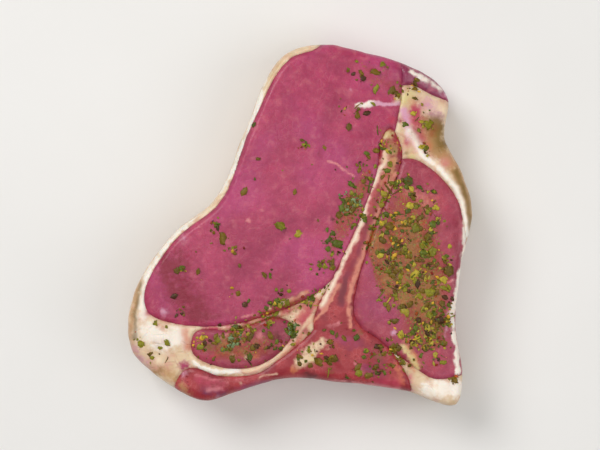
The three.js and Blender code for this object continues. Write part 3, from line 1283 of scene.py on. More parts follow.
@dataclass(frozen=True)
class Tissue:
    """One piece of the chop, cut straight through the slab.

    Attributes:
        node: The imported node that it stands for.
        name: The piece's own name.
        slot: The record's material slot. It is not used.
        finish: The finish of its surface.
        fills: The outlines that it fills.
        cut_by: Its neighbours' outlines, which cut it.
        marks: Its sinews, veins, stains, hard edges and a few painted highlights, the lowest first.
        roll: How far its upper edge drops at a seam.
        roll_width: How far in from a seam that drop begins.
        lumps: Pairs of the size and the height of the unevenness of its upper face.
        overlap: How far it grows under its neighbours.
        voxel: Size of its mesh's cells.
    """

    node: str
    name: str
    slot: str
    finish: LeanMeat | Fat | SawnBone
    fills: tuple[Fill, ...]
    cut_by: tuple[Fill, ...]
    marks: tuple[Mark, ...]
    roll: float = 0.32
    roll_width: float = 0.9
    lumps: tuple[Point, ...] = ((9, 0.2), (3.5, 0.08), (1.2, 0.03))
    overlap: float = 0.1
    voxel: float = 0.33

    def build(self, slab: bpy.types.Object) -> bpy.types.Object:
        """Cuts the tissue out of the slab, and shapes and dresses it.

        Args:
            slab: The whole chop.

        Returns:
            The piece, in metres, with its material and what that reads.
        """
        piece = self._cut_out(slab)
        shaped = self._sculpted(piece.data)
        piece.data.vertices.foreach_set("co", shaped.ravel())
        piece.data.transform(to_frame())
        piece.data.shade_smooth()
        piece.data.materials.clear()
        piece.data.materials.append(made(self.finish))
        return piece

    def _cut_out(self, slab: bpy.types.Object) -> bpy.types.Object:
        """Cuts the tissue out of the slab and gives it even cells.

        Args:
            slab: The whole chop.

        Returns:
            The tissue, in millimetres, with a level top.
        """
        core = prism(self.fills[0].outline, self.overlap)
        tools = [core]
        for fill in self.fills[1:]:
            tools.append(prism(fill.outline, self.overlap))
            carve(core, Cut.JOIN, tools[-1])
        piece = linked(self.name, slab.data.copy())
        carve(piece, Cut.KEEP, core)
        for neighbour in self.cut_by:
            tools.append(prism(neighbour.outline, -self.overlap / 2))
            carve(piece, Cut.REMOVE, tools[-1])
        apply_modifiers(piece)
        keep_largest(piece.data)
        cells = piece.modifiers.new("cells", "REMESH")
        cells.mode = "VOXEL"
        cells.voxel_size = self.voxel * 1
        apply_modifiers(piece)
        for tool in tools:
            bpy.data.objects.remove(tool)
        return piece

    def _sculpted(self, mesh: bpy.types.Mesh) -> np.ndarray:
        """Stores on the mesh what its finish reads.

        Args:
            mesh: The tissue's mesh, in millimetres.

        Returns:
            The places of its vertices with the upper face's form and the relief.
        """
        places = coordinates(mesh)
        plan = places[:, :2]
        level = places[:, 2] / FACE.thickness
        upper = smooth_step(0.72, 0.97, level)
        rim = np.maximum(CHOP.depth_map(plan), 0)
        seam = np.maximum(deepest_map(self.fills, plan), 0)
        if self.cut_by:
            seam = np.minimum(seam, np.maximum(-deepest_map(self.cut_by, plan), 0))
        stain_and_highlight = StainAndHighlight.blended(self.marks, plan)
        # The marks are on the cut face: they end on the chop's outer side.
        wall = (1 - smooth_step(0.66, 0.92, level)) * (1 - smooth_step(0.3, 1.1, rim))
        store(mesh, "seam", seam)
        store(mesh, "rim", rim)
        store(mesh, "cover", marinade_cover(plan) * (0.3 + 0.7 * upper))
        store(mesh, "stained_and_highlit", stain_and_highlight.shows * (1 - wall))
        store_colours(mesh, "stain_and_highlight", stain_and_highlight.colour)
        shaped = places.copy()
        shaped[:, 2] = level * FACE.height(plan)
        shaped[:, 2] += upper * (stain_and_highlight.rise - self.roll * (1 - smooth_step(0, 1, seam / self.roll_width)))
        for seed, (size, rise) in enumerate(self.lumps, start=11):
            shaped[:, 2] += upper * rise * Unevenness(size, seed).at(plan)
        shaped[:, :2] += self._side_relief(places, rim)
        return shaped

    @staticmethod
    def _side_relief(places: np.ndarray, rim: np.ndarray) -> np.ndarray:
        """Makes the chop's outer side uneven.

        Args:
            places: The vertices, one a row.
            rim: How far in from the chop's outline each of them lies.

        Returns:
            How far each of them moves along x and y.
        """
        middle = np.array([3.0, -3.0])
        outward = places[:, :2] - middle
        outward /= np.linalg.norm(outward, axis=1, keepdims=True) + 1e-9
        flattened = places * np.array([1, 1, 0.6])
        bulge = 0.22 * Unevenness(6, 31).at(flattened) + 0.11 * Unevenness(1.8, 32).at(flattened)
        foot = smooth_step(0, 0.12, places[:, 2] / FACE.thickness)
        return outward * (bulge * foot * (1 - smooth_step(0.5, 3, rim)))[:, None]


LOIN = LeanMeat("loin_meat", srgb(187, 62, 101), srgb(146, 34, 72), srgb(180, 60, 118))
TENDERLOIN = LeanMeat(
    "tenderloin_meat", srgb(176, 68, 86), srgb(134, 36, 62), srgb(166, 56, 104), skin=Hue.CREAM, skinned=0.85
)
FLANK = LeanMeat(
    "flank_meat", srgb(174, 62, 104), srgb(120, 30, 66), srgb(150, 50, 98), 1.1,
    surface=Surface(0.2, (1.4, 0.4, 0.4), 0.5, 0.1),
)
FAT = Fat()
BONE = SawnBone()
BONE_FILLS = (Fill.PROCESS, Fill.BODY, Fill.SPINE)

BONE_MARKS = (
    Mark(Hue.TAN, ((19.3, 16.5), (18.6, 11), (17.8, 8)), 2, 0.75),
    Mark(Hue.ORANGE, ((18.9, 13.5), (17.4, 8), (15.4, 2)), 1.2, 0.5),
    Mark(Hue.OLIVE, ((19.4, 16),), 1.4, 0.6),
    Mark(Hue.ROSE, ((18.6, 11.5), (17.4, 7.4)), 0.9, 0.6),
    Mark(Hue.CRIMSON, ((17.3, 7), (16.4, 4.6), (14.5, -0.6), (12.2, -6.2), (9.5, -12), (8.6, -17)), 1.3, 0.9),
    Mark(Hue.BLOOD_AND_SHADE, ((9.6, -11.6), (8.6, -16.4)), 1.2, 0.6),
    Mark(Hue.CRIMSON, ((9.8, -25.8),), 3.4, 0.6),
    Mark(Hue.MAGENTA, ((7.6, -23.4), (11.4, -25)), 2, 0.6),
    Mark(Hue.MAGENTA, ((13.2, -29.6),), 1.8, 0.6),
    Mark(Hue.PINK, ((11.4, -29.4), (13, -31.6)), 0.8, 0.6),
    Mark(Hue.PINK, ((6.2, -21.4), (8.4, -20.6)), 0.8, 0.5),
    Mark(Hue.OLIVE, ((12.6, -22.2),), 1.3, 0.5),
    Mark(Hue.OLIVE, ((6.4, -30.6),), 1.6, 0.5),
    Mark(Hue.PLUM, ((14.7, -30.7),), 2.8, 0.5),
    Mark(Hue.CRIMSON, ((12.6, -24.4), (17.4, -29.6), (17, -32)), 2, 0.6),
    Mark(Hue.OLIVE, ((16.4, -27.6),), 1.4, 0.4),
    Mark(Hue.PINK, ((18.6, -27),), 1.8, 0.4),
    Mark(Hue.ORANGE, ((20, -29.5), (21.4, -33)), 1.6, 0.55),
    Mark(Hue.ROSE, ((16, -33.8), (20, -33.6)), 2.2, 0.7),
    Mark(Hue.ROSE, ((-21.5, -33), (-17, -33.6)), 2.4, 0.6),
    Mark(Hue.TAN, ((-25, -34), (-23.6, -36.4)), 1.8, 0.6),
    Mark(Hue.PLUM, ((-20.4, -35.2), (-16, -35.6)), 1.6, 0.6),
    Mark(Hue.LILAC, ((-24.6, -31.6),), 1.2, 0.6),
    Mark(Hue.PINK, ((-22.4, -31.8), (-18.5, -32.6), (-15, -32.8)), 0.5, 0.4),
    Mark(Hue.PINK, ((-14, -32.6), (-9, -32.6), (-5, -31)), 1.0, 0.35),
    Mark(Hue.MAGENTA, ((-13, -34.4), (-7, -33.4)), 1.4, 0.6),
    Mark(Hue.PINK, ((-19.6, -34.8), (-16.4, -34.4)), 0.6, 0.5),
    Mark(Hue.LILAC, ((-17.6, -36.2),), 0.8, 0.4),
    Mark(Hue.CREAM, ((-8.4, -32.2), (-4.8, -31.2)), 0.5, 0.5),
    Mark(Hue.CREAM, ((-12.4, -33.2),), 0.6, 0.6),
    Mark(Hue.PLUM, ((-11, -34.4), (-6, -33.4)), 1.4, 0.5),
    Mark(Hue.CREAM, ((4.6, -25.2), (2.2, -26.8), (0.2, -28.9)), 2.1, 0.95, 0.1),
    Mark(Hue.BUTTER, ((2.6, -28.4),), 1.3, 0.6),
    Mark(Hue.ORANGE, ((-1.2, -30.6),), 1.6, 0.7),
    Mark(Hue.BLOOD_AND_SHADE, ((2.4, -31.9),), 2.2, 0.9),
    Mark(Hue.PINK, ((7, -33), (14, -33.9), (20.6, -34.8)), 0.8, 0.6),
    Mark(
        Hue.SALMON,
        ((20.4, 10.6), (18, 6.6), (15.3, 0.2), (13.2, -6.3), (11.3, -11.8), (10.4, -17), (10.4, -21.4)),
        0.8, 0.9, 0.12,
    ),
    Mark(
        Hue.PINK,
        ((17.9, 15), (17.1, 12.2), (14.9, 7.2), (12.8, 0.2), (9.7, -6.7), (6.5, -13.2), (4.4, -17.5)),
        1, 0.9, 0.1,
    ),
    Mark(
        Hue.CREAM,
        ((18, 15.4), (17.2, 12.6), (15, 7.6), (12.9, 0.6), (9.8, -6.3), (6.5, -13), (4.4, -17.2)),
        0.68, 1, 0.1,
    ),
    Mark(
        Hue.WHITE, ((17.1, 12.6), (15, 7.7), (12.8, 0.6), (9.7, -6.3), (6.4, -13), (4.4, -17)),
        0.45, 0.5, 0.05,
    ),
    Mark(Hue.SALMON, ((8, -12.9), (5.6, -17.3), (2.9, -20.2)), 0.8, 0.9, 0.08),
    Mark(Hue.BUTTER, ((17.8, 18.9), (18.9, 19)), 1.5, 0.9, 0.15),
)
CHINE_MARKS = (
    Mark(Hue.OLIVE, ((-19.5, -25.4), (-14, -25)), 2.6, 0.6),
    Mark(Hue.ROSE, ((-18, -28),), 2, 0.7),
    Mark(Hue.CRIMSON, ((-11.4, -26.3), (-7.6, -26.4)), 2.2, 0.9),
    Mark(Hue.BLOOD_AND_SHADE, ((-5, -23.6),), 2, 0.8),
    Mark(Hue.PINK, ((-8.6, -23.4),), 1.8, 0.75),
    Mark(Hue.PINK, ((-12, -22.8), (-17, -23.4)), 1.1, 0.75),
    Mark(Hue.ORANGE, ((-16.8, -26.6),), 1.2, 0.7),
    Mark(Hue.CREAM, ((-14.2, -27.6),), 0.9, 1),
    Mark(Hue.CREAM, ((-11.2, -27.9),), 0.8, 0.9),
    Mark(Hue.ORANGE, ((-9.3, -27.8),), 1.2, 0.6),
)
EYE_MARKS = (
    Mark(Hue.MAGENTA, ((-12, -13), (-4, -10), (2, -6)), 5, 0.3),
    Mark(Hue.CRIMSON, ((-20.5, -4.5), (-16, -3)), 5, 0.3),
    Mark(Hue.CRIMSON, ((-27, -8), (-25.7, -12.6), (-22.6, -17)), 6, 0.85),
    Mark(Hue.CRIMSON, ((-22.2, -19.6), (-17, -19.2)), 1.8, 0.5),
    Mark(Hue.CRIMSON, ((4.6, 14.5),), 2, 0.5),
    Mark(Hue.ROSE, ((19.4, 22),), 1.8, 0.8),
    Mark(Hue.OLIVE, ((17.4, 30.4),), 2.6, 0.4),
    Mark(Hue.BLOOD_AND_SHADE, ((18.3, 33),), 1.2, 0.5),
    Mark(Hue.BLOOD_AND_SHADE, ((7, 1),), 1.1, 0.7),
    Mark(Hue.ORANGE, ((7, 30.5),), 3, 0.25),
    Mark(Hue.LILAC, ((-24.4, -2.8),), 1.8, 0.35),
    Mark(Hue.LILAC, ((-29, -18.4),), 1.8, 0.6),
    Mark(Hue.PINK, ((-21.5, -0.8),), 1.4, 0.4),
    Mark(Hue.PINK, ((-11.1, 1),), 0.9, 0.8),
    Mark(Hue.PINK, ((-8, 3.1),), 1, 0.4),
    Mark(Hue.PINK, ((5.6, 13.3), (8.4, 12), (11.6, 10)), 0.55, 0.75),
    Mark(Hue.ORANGE, ((13.6, 10.4),), 0.9, 0.6),
    Mark(Hue.PINK, ((6, -11.4),), 1.6, 0.4),
    Mark(Hue.LILAC, ((8.6, -8.6),), 1, 0.7),
    Mark(Hue.LILAC, ((10.5, 28.1),), 0.8, 0.5),
    Mark(Hue.BLOOD_AND_SHADE, ((-4, -17), (0.5, -14.6)), 1.2, 0.6),
    Mark(Hue.PINK, ((-12.5, -19.5), (-9, -18.9)), 0.8, 0.6),
    Mark(Hue.CRIMSON, ((-6, -16.2), (-3.4, -15.2)), 1, 0.6),
    Mark(Hue.CREAM, ((-6.6, -17.6),), 0.8, 0.9, 0.1),
    Mark(Hue.CREAM, ((-4, -16.7), (-2, -16)), 0.6, 0.9, 0.1),
    Mark(Hue.CREAM, ((0.4, -14.6),), 0.7, 0.8, 0.1),
    Mark(Hue.SALMON, ((-2.6, -16.4), (1.5, -14)), 0.7, 0.7),
    # Painted highlight: a white-lilac streak drawn where a glint lies, standing up a little.
    Mark(Hue.LILAC, ((14.2, 25.2), (17, 25.4), (20.8, 25.6)), 0.85, 1, 0.06),
    Mark(Hue.WHITE, ((12.2, 25.1), (14.4, 25.3)), 1.25, 1, 0.1),
    Mark(Hue.BUTTER, ((20.6, 27),), 1.5, 0.9, 0.1),
)
FLANK_FAT_MARKS = (
    Mark(Hue.PINK, ((23.6, 21.5), (25, 16.8)), 3.4, 0.75),
    Mark(Hue.LILAC, ((26.6, 25.8), (29, 23.6)), 2.6, 0.6),
    Mark(Hue.BUTTER, ((20.8, 25.6), (23.2, 27.4)), 2.4, 0.7, 0.2),
    Mark(Hue.ORANGE, ((23.9, 25.8),), 1.4, 0.7),
    Mark(Hue.ROSE, ((24.2, 24.2), (25, 20.2), (25.6, 18.2)), 2, 0.85),
    Mark(Hue.TAN, ((27.2, 20.6), (29.2, 15.6), (31.6, 12.6)), 2.8, 0.85),
    Mark(Hue.OLIVE, ((28.6, 22), (30, 17)), 2.7, 0.8),
    Mark(Hue.ORANGE, ((27.2, 16.6),), 1.3, 0.5),
    Mark(Hue.LILAC, ((21.8, 24.4), (22.6, 21), (23, 19)), 0.9, 0.9),
    Mark(Hue.CRIMSON, ((20.9, 22),), 1, 0.7),
    Mark(Hue.PINK, ((30.4, 13),), 1.8, 0.6),
    Mark(Hue.ROSE, ((22.4, 17.2),), 1.2, 0.6),
    Mark(Hue.BUTTER, ((23.6, 14),), 1.7, 0.8),
    Mark(Hue.OLIVE, ((22, 14.9),), 0.9, 0.6),
    Mark(Hue.CREAM, ((34.6, 10.4), (36.4, 5.6), (36.8, 1.5)), 0.9, 0.6),
    Mark(Hue.TAN, ((33, 10.4), (35, 6.2), (35.9, 2), (36, -1)), 1.8, 0.95),
    Mark(Hue.OLIVE, ((32.6, 11), (34.8, 6.6), (35.8, 2.5), (35.8, -3)), 1.0, 0.85),
    # A thin white membrane along the right edge, brightened as a painted highlight.
    Mark(Hue.WHITE, ((23, 19.6), (24.4, 17.2), (25.6, 15.4)), 1.4, 1, 0.15),
    Mark(
        Hue.WHITE,
        ((25.6, 15.2), (27.8, 12.9), (30.4, 10.4), (33.8, 5.6), (34.7, 1.5), (35.2, -2.5)),
        0.9, 1, 0.15,
    ),
)
FLANK_MEAT_MARKS = (
    Mark(Hue.PLUM, ((26, 29.8), (29, 28)), 2, 0.5),
    Mark(Hue.ROSE, ((22.6, 34),), 2, 0.5),
    Mark(Hue.LILAC, ((30.8, 27.6),), 1.6, 0.6),
    # Painted highlight: a white glossy streak across the flank end, standing up a little.
    Mark(Hue.WHITE, ((23.4, 32.3), (26.4, 31), (29.6, 29.2)), 1, 0.8, 0.1),
)
TENDERLOIN_MARKS = (
    Mark(Hue.MAGENTA, ((14, -11), (13.2, -15.5), (13.8, -20)), 2, 0.5),
    Mark(Hue.MAGENTA, ((17.8, -19.4),), 2.6, 0.5),
    Mark(Hue.ROSE, ((29, 6.4), (31.3, 2)), 2.6, 0.4),
    Mark(Hue.SALMON, ((22.6, 5.8), (26, 4.6)), 4, 0.6),
    Mark(Hue.CRIMSON, ((32.6, 1), (32.8, -6)), 1.4, 0.6),
    Mark(Hue.PLUM, ((29.5, -18.5),), 3, 0.35),
    Mark(Hue.ROSE, ((28.6, -29),), 4, 0.6),
    Mark(Hue.ORANGE, ((23.7, -21),), 1.6, 0.45),
    Mark(Hue.ORANGE, ((22.6, -24.6), (24.4, -29)), 1.8, 0.6),
    Mark(Hue.BUTTER, ((21.4, -25.8), (24.6, -30)), 1.2, 0.7),
    Mark(Hue.LILAC, ((19.6, -22.8),), 1.4, 0.8),
    Mark(Hue.PINK, ((26.5, -13.6), (32.1, -11.8)), 0.7, 0.8),
    Mark(Hue.LILAC, ((31.3, -18.9), (30.2, -23.7)), 0.8, 0.6),
    # A thin white membrane along the right edge, brightened as a painted highlight.
    Mark(
        Hue.WHITE,
        ((34.6, 0.4), (34.6, -4), (34, -9.5), (32.9, -14), (32.1, -20), (32.7, -26), (33, -31)),
        1, 1, 0.15,
    ),
)
CORNER_MARKS = (
    Mark(Hue.PINK, ((22.8, -32.5), (23.2, -36)), 1.8, 0.6),
    Mark(Hue.ORANGE, ((21, -28.4), (24, -30.6)), 1.3, 0.5),
    Mark(Hue.BUTTER, ((32, -31.6),), 1.3, 0.4),
    Mark(Hue.WHITE, ((27, -34.5), (33, -34.5)), 3.4, 0.9),
)
BACK_FAT_MARKS = (
    Mark(Hue.TAN, ((-34.2, -11.2), (-35.6, -18.2), (-36, -24.4), (-34.5, -29)), 1.7, 0.7),
    Mark(Hue.OLIVE, ((-33.9, -12.5), (-34.6, -20.3), (-35, -24)), 0.7, 0.7),
    Mark(Hue.CREAM, ((-35.6, -13.5), (-36.3, -20.3)), 0.7, 0.7),
    Mark(
        Hue.WHITE,
        ((-7.6, 31), (-10.4, 20.5), (-15.4, 9.7), (-22.4, 2), (-29.4, -5.8), (-32.6, -13), (-33, -19)),
        1.4, 0.95,
    ),
    Mark(Hue.LILAC, ((-35, -26.6), (-32.4, -29.6)), 2.2, 0.45),
    Mark(Hue.TAN, ((-32, -30.8), (-28.6, -31), (-25.4, -33)), 1.8, 0.6),
    Mark(Hue.OLIVE, ((-29.8, -30.4),), 1.2, 0.5),
    Mark(Hue.PINK, ((-27.6, -29),), 1.8, 0.5),
    Mark(Hue.WHITE, ((-31.8, -22.6), (-28.8, -24.4), (-26, -23.7)), 3.8, 0.95, 0.15),
    Mark(Hue.ORANGE, ((-24, -22.6), (-23.4, -25.6)), 1.5, 0.6),
    Mark(Hue.ROSE, ((-31.9, -18.6),), 1.2, 0.7),
    Mark(Hue.ROSE, ((-20, -21.7), (-14.5, -21.4), (-9, -20.1), (-3.4, -18.2), (1.4, -16)), 1.7, 0.75),
    Mark(Hue.CREAM, ((-12.8, -21.4),), 1, 0.9),
    Mark(Hue.CREAM, ((-15.8, -21.7),), 0.7, 0.9, 0.1),
    Mark(Hue.CREAM, ((-9.6, -20.4),), 1.1, 0.9, 0.1),
    Mark(Hue.CREAM, ((-7, -19.4),), 0.7, 0.9, 0.1),
    Mark(Hue.BLOOD_AND_SHADE, ((-6, -18.9),), 0.7, 0.7),
    Mark(Hue.BLOOD_AND_SHADE, ((-11.2, -20.8),), 0.7, 0.6),
    Mark(Hue.CREAM, ((-4.5, -18.6),), 1, 0.9),
    Mark(Hue.CREAM, ((-1.6, -17.2), (2.2, -15)), 0.9, 0.9),
    Mark(Hue.SALMON, ((3, -16.8), (0.4, -20), (-1, -24), (-3.6, -27.6)), 2.8, 0.95),
    Mark(Hue.ROSE, ((2.2, -17.6), (0.6, -20)), 1.4, 0.85),
    Mark(Hue.CRIMSON, ((0.6, -22),), 1.4, 0.8),
    Mark(Hue.CREAM, ((-0.4, -21),), 0.8, 0.8, 0.1),
    Mark(Hue.CREAM, ((2.4, -19.8),), 0.6, 0.8, 0.1),
    Mark(Hue.ROSE, ((-1.6, -25.2),), 1.5, 0.8),
    Mark(Hue.TAN, ((-3, -28.6),), 1.2, 0.6),
    Mark(Hue.CREAM, ((3.2, -17.6), (1.4, -20.6), (-0.8, -23.4), (-2.6, -26.4)), 0.55, 0.8, 0.08),
    Mark(Hue.MAGENTA, ((-24.6, -29.8),), 2, 0.8),
    Mark(Hue.PINK, ((-13.3, -30.6), (-9.5, -30.4), (-6.2, -28.9)), 1.6, 0.6),
    Mark(Hue.WHITE, ((-22.4, -29), (-20.4, -30.2), (-16.8, -30.9), (-13.3, -30.7)), 1, 1, 0.1),
    Mark(Hue.CREAM, ((-12, -30.6), (-8.6, -30), (-5.4, -28.2), (-3, -25.6)), 0.9, 0.9, 0.1),
)

TISSUES = (
    Tissue(
        "t_bone", "sawn_t_bone", "bone", BONE, BONE_FILLS, (), BONE_MARKS,
        lumps=((6, 0.15), (1.6, 0.08), (0.8, 0.05)),
    ),
    Tissue(
        "chine_muscle", "chine_meat", "lean_meat", TENDERLOIN, (Fill.CHINE,), BONE_FILLS, CHINE_MARKS,
        lumps=((5, 0.2), (2.0, 0.1), (1, 0.05)),
    ),
    Tissue(
        "loin_eye", "loin_eye_meat", "lean_meat", LOIN, (Fill.EYE,), (*BONE_FILLS, Fill.CHINE), EYE_MARKS
    ),
    Tissue(
        "flank_fat", "flank_fat_layer", "fat", FAT, (Fill.FLANK_FAT,),
        (Fill.PROCESS, Fill.BODY, Fill.EYE), FLANK_FAT_MARKS,
    ),
    Tissue(
        "flank_muscle", "flank_meat", "dark_meat", FLANK, (Fill.FLANK_MUSCLE,),
        (Fill.FLANK_FAT, Fill.EYE), FLANK_MEAT_MARKS,
    ),
    Tissue(
        "tenderloin", "tenderloin_meat", "lean_meat", TENDERLOIN, (Fill.TENDERLOIN,),
        (Fill.PROCESS, Fill.BODY, Fill.FLANK_FAT), TENDERLOIN_MARKS,
    ),
    Tissue(
        "corner_fat", "corner_fat_lump", "fat", FAT, (Fill.CORNER_FAT,),
        (Fill.BODY, Fill.TENDERLOIN), CORNER_MARKS, lumps=((5, 0.3), (2.2, 0.2), (1.1, 0.06)),
    ),
    Tissue(
        "back_fat", "back_fat_layer", "fat", FAT, (Fill.BACK_FAT,),
        (*BONE_FILLS, Fill.CHINE, Fill.EYE, Fill.TENDERLOIN), BACK_FAT_MARKS,
        lumps=((6, 0.25), (2.4, 0.18), (1.1, 0.06)),
    ),
)  # fmt: skip


# ---------------------------------------------------------------- herbs


class Kind(Enum):
    """The kinds of chopped bits, by the names of the pieces that they make."""

    LEAF = "herb_leaves"
    NEEDLE = "herb_needles"
    CRUMB = "spice_crumbs"


HERB_FINISHES = {
    Kind.LEAF: ChoppedHerb("herb_leaf"),
    Kind.NEEDLE: ChoppedHerb("herb_stalk"),
    Kind.CRUMB: ChoppedHerb("spice"),
}


@dataclass(frozen=True)
class Bit:
    """One bit of the marinade as it lies.

    Attributes:
        kind: What it is.
        place: Its middle in plan.
        length: Its length in millimetres.
        width: Its width in millimetres.
        turn: Its turn from +X, in radians.
        tilt: How far one end is raised, in radians.
        colour: Its colour.
    """

    kind: Kind
    place: np.ndarray
    length: float
    width: float
    turn: float
    tilt: float
    colour: np.ndarray


def one_of(shades: tuple[Shade, ...], rng: np.random.Generator) -> np.ndarray:
    """Draws one of some shades, and makes it a little lighter or darker."""
    return np.array(shades[rng.integers(len(shades))].value) * rng.uniform(0.75, 1.3)


class Ground:
    """The upper face that the bits lie on."""

    def __init__(self, pieces: Iterable[bpy.types.Object]) -> None:
        """Prepares to look down on pieces.

        Args:
            pieces: The finished tissues.
        """
        graph = bpy.context.evaluated_depsgraph_get()
        self.trees = [BVHTree.FromObject(piece, graph) for piece in pieces]
        self.move = to_frame()

    def under(self, place: np.ndarray) -> tuple[Vector, Vector] | None:
        """Finds the surface under a place.

        Args:
            place: A point in plan, in millimetres.

        Returns:
            The point and the normal of the surface there, in the frame, or nothing off the chop.
        """
        start = self.move @ Vector((*place, 2 * FACE.thickness))
        hits = [tree.ray_cast(start, Vector((0, 0, -1))) for tree in self.trees]
        found = [(point, normal) for point, normal, _, _ in hits if point is not None]
        return max(found, key=lambda hit: hit[0].z) if found else None


@dataclass(frozen=True)
class LooseFlake:
    """A large flake that lies by itself on the loin eye.

    Attributes:
        centre: Its middle.
        length: Its length.
        turn: Its turn from +X, in degrees.
        shade: Its colour.
    """

    centre: Point
    length: float
    turn: float
    shade: Shade


LOOSE_FLAKES = (
    LooseFlake((-11.7, 6.9), 2.4, 60, Shade.OLIVE),
    LooseFlake((-16.3, -2.9), 3.2, -58, Shade.OLIVE),
    LooseFlake((-4.2, -0.3), 3, -15, Shade.MOSS),
    LooseFlake((-0.4, -2), 2.8, -30, Shade.STRAW),
    LooseFlake((-26.4, -15), 1.9, 20, Shade.BARK),
    LooseFlake((7.9, -4), 3, 10, Shade.FERN),
    LooseFlake((5.1, 16.1), 2.4, 0, Shade.OLIVE),
    LooseFlake((10.2, 20.5), 2, 80, Shade.OLIVE),
    LooseFlake((14, 23.4), 2, 20, Shade.BARK),
    LooseFlake((15.8, 32), 2.6, 15, Shade.OLIVE),
)


@dataclass(frozen=True)
class HerbRule:
    """Where the large flakes lie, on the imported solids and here.

    Attributes:
        seed: What the draws start from.
        longest: Length of a drift's first flake.
        shortest: Length of its last.
        edge: How far in from the chop's outline the upper face is level.
        gap: The gap between two packed tissues.
        clearance: What is kept between a flake's tip and the edge of its tissue.
        crowding: Least distance between two flakes, as a share of the new one's length.
        tilt: The largest tilt, in degrees.
        loose_width: The width of a loose flake, as a share of its length.
    """

    seed: int = 4127
    longest: float = 3.2
    shortest: float = 1.3
    edge: float = 1.0
    gap: float = 0.3
    clearance: float = 0.4
    crowding: float = 0.6
    tilt: float = 10
    loose_width: float = 0.6

    def draws(self) -> Iterator[float]:
        """Draws evenly, by whole numbers that come out alike everywhere.

        Yields:
            Numbers between 0 and 1.
        """
        modulus, multiplier = 2147483647, 16807
        state = self.seed
        while True:
            state = state * multiplier % modulus
            yield state / modulus

    def flakes(self, rng: np.random.Generator) -> Iterator[Bit]:
        """Lays out the flakes. Each takes as many draws, whether or not it finds a clear place.

        Args:
            rng: Where the flakes' colours are drawn from.

        Yields:
            The flakes that found a place.
        """
        draw = self.draws()
        kept: list[np.ndarray] = []
        for flake in LOOSE_FLAKES:
            place, turn = np.array(flake.centre, float), math.radians(flake.turn)
            kept.append(place)
            width = flake.length * self.loose_width
            yield Bit(Kind.LEAF, place, flake.length, width, turn, 0, one_of((flake.shade,), rng))
        for drift in DRIFTS:
            for number in range(drift.flakes):
                size, shape, facing, leaning, away, around = (next(draw) for _ in range(6))
                largest = self.longest + (self.shortest - self.longest) * number / drift.flakes
                length = largest * (0.75 + 0.25 * size)
                place = drift.from_middle(away, around)
                crowded = any(math.dist(place, other) < length * self.crowding for other in kept)
                if crowded or not self._has_room(place, length / 2 + self.clearance):
                    continue
                kept.append(place)
                width = length * (0.45 + 0.35 * shape)
                tilt = math.radians(self.tilt) * (2 * leaning - 1)
                yield Bit(Kind.LEAF, place, length, width, math.pi * facing, tilt, one_of(drift.shades, rng))

    def _has_room(self, place: np.ndarray, room: float) -> bool:
        """Tells whether the upper face of one tissue has room round a place.

        Args:
            place: The place in plan.
            room: How far round it must be clear.

        Returns:
            Whether it is.
        """
        plan = place[None]
        if CHOP.depth(plan)[0] < room + self.edge:
            return False
        for tissue in TISSUES:
            if tissue.cut_by and deepest(tissue.cut_by, plan)[0] > -(room + self.gap):
                continue
            if deepest(tissue.fills, plan)[0] > room:
                return True
        return False


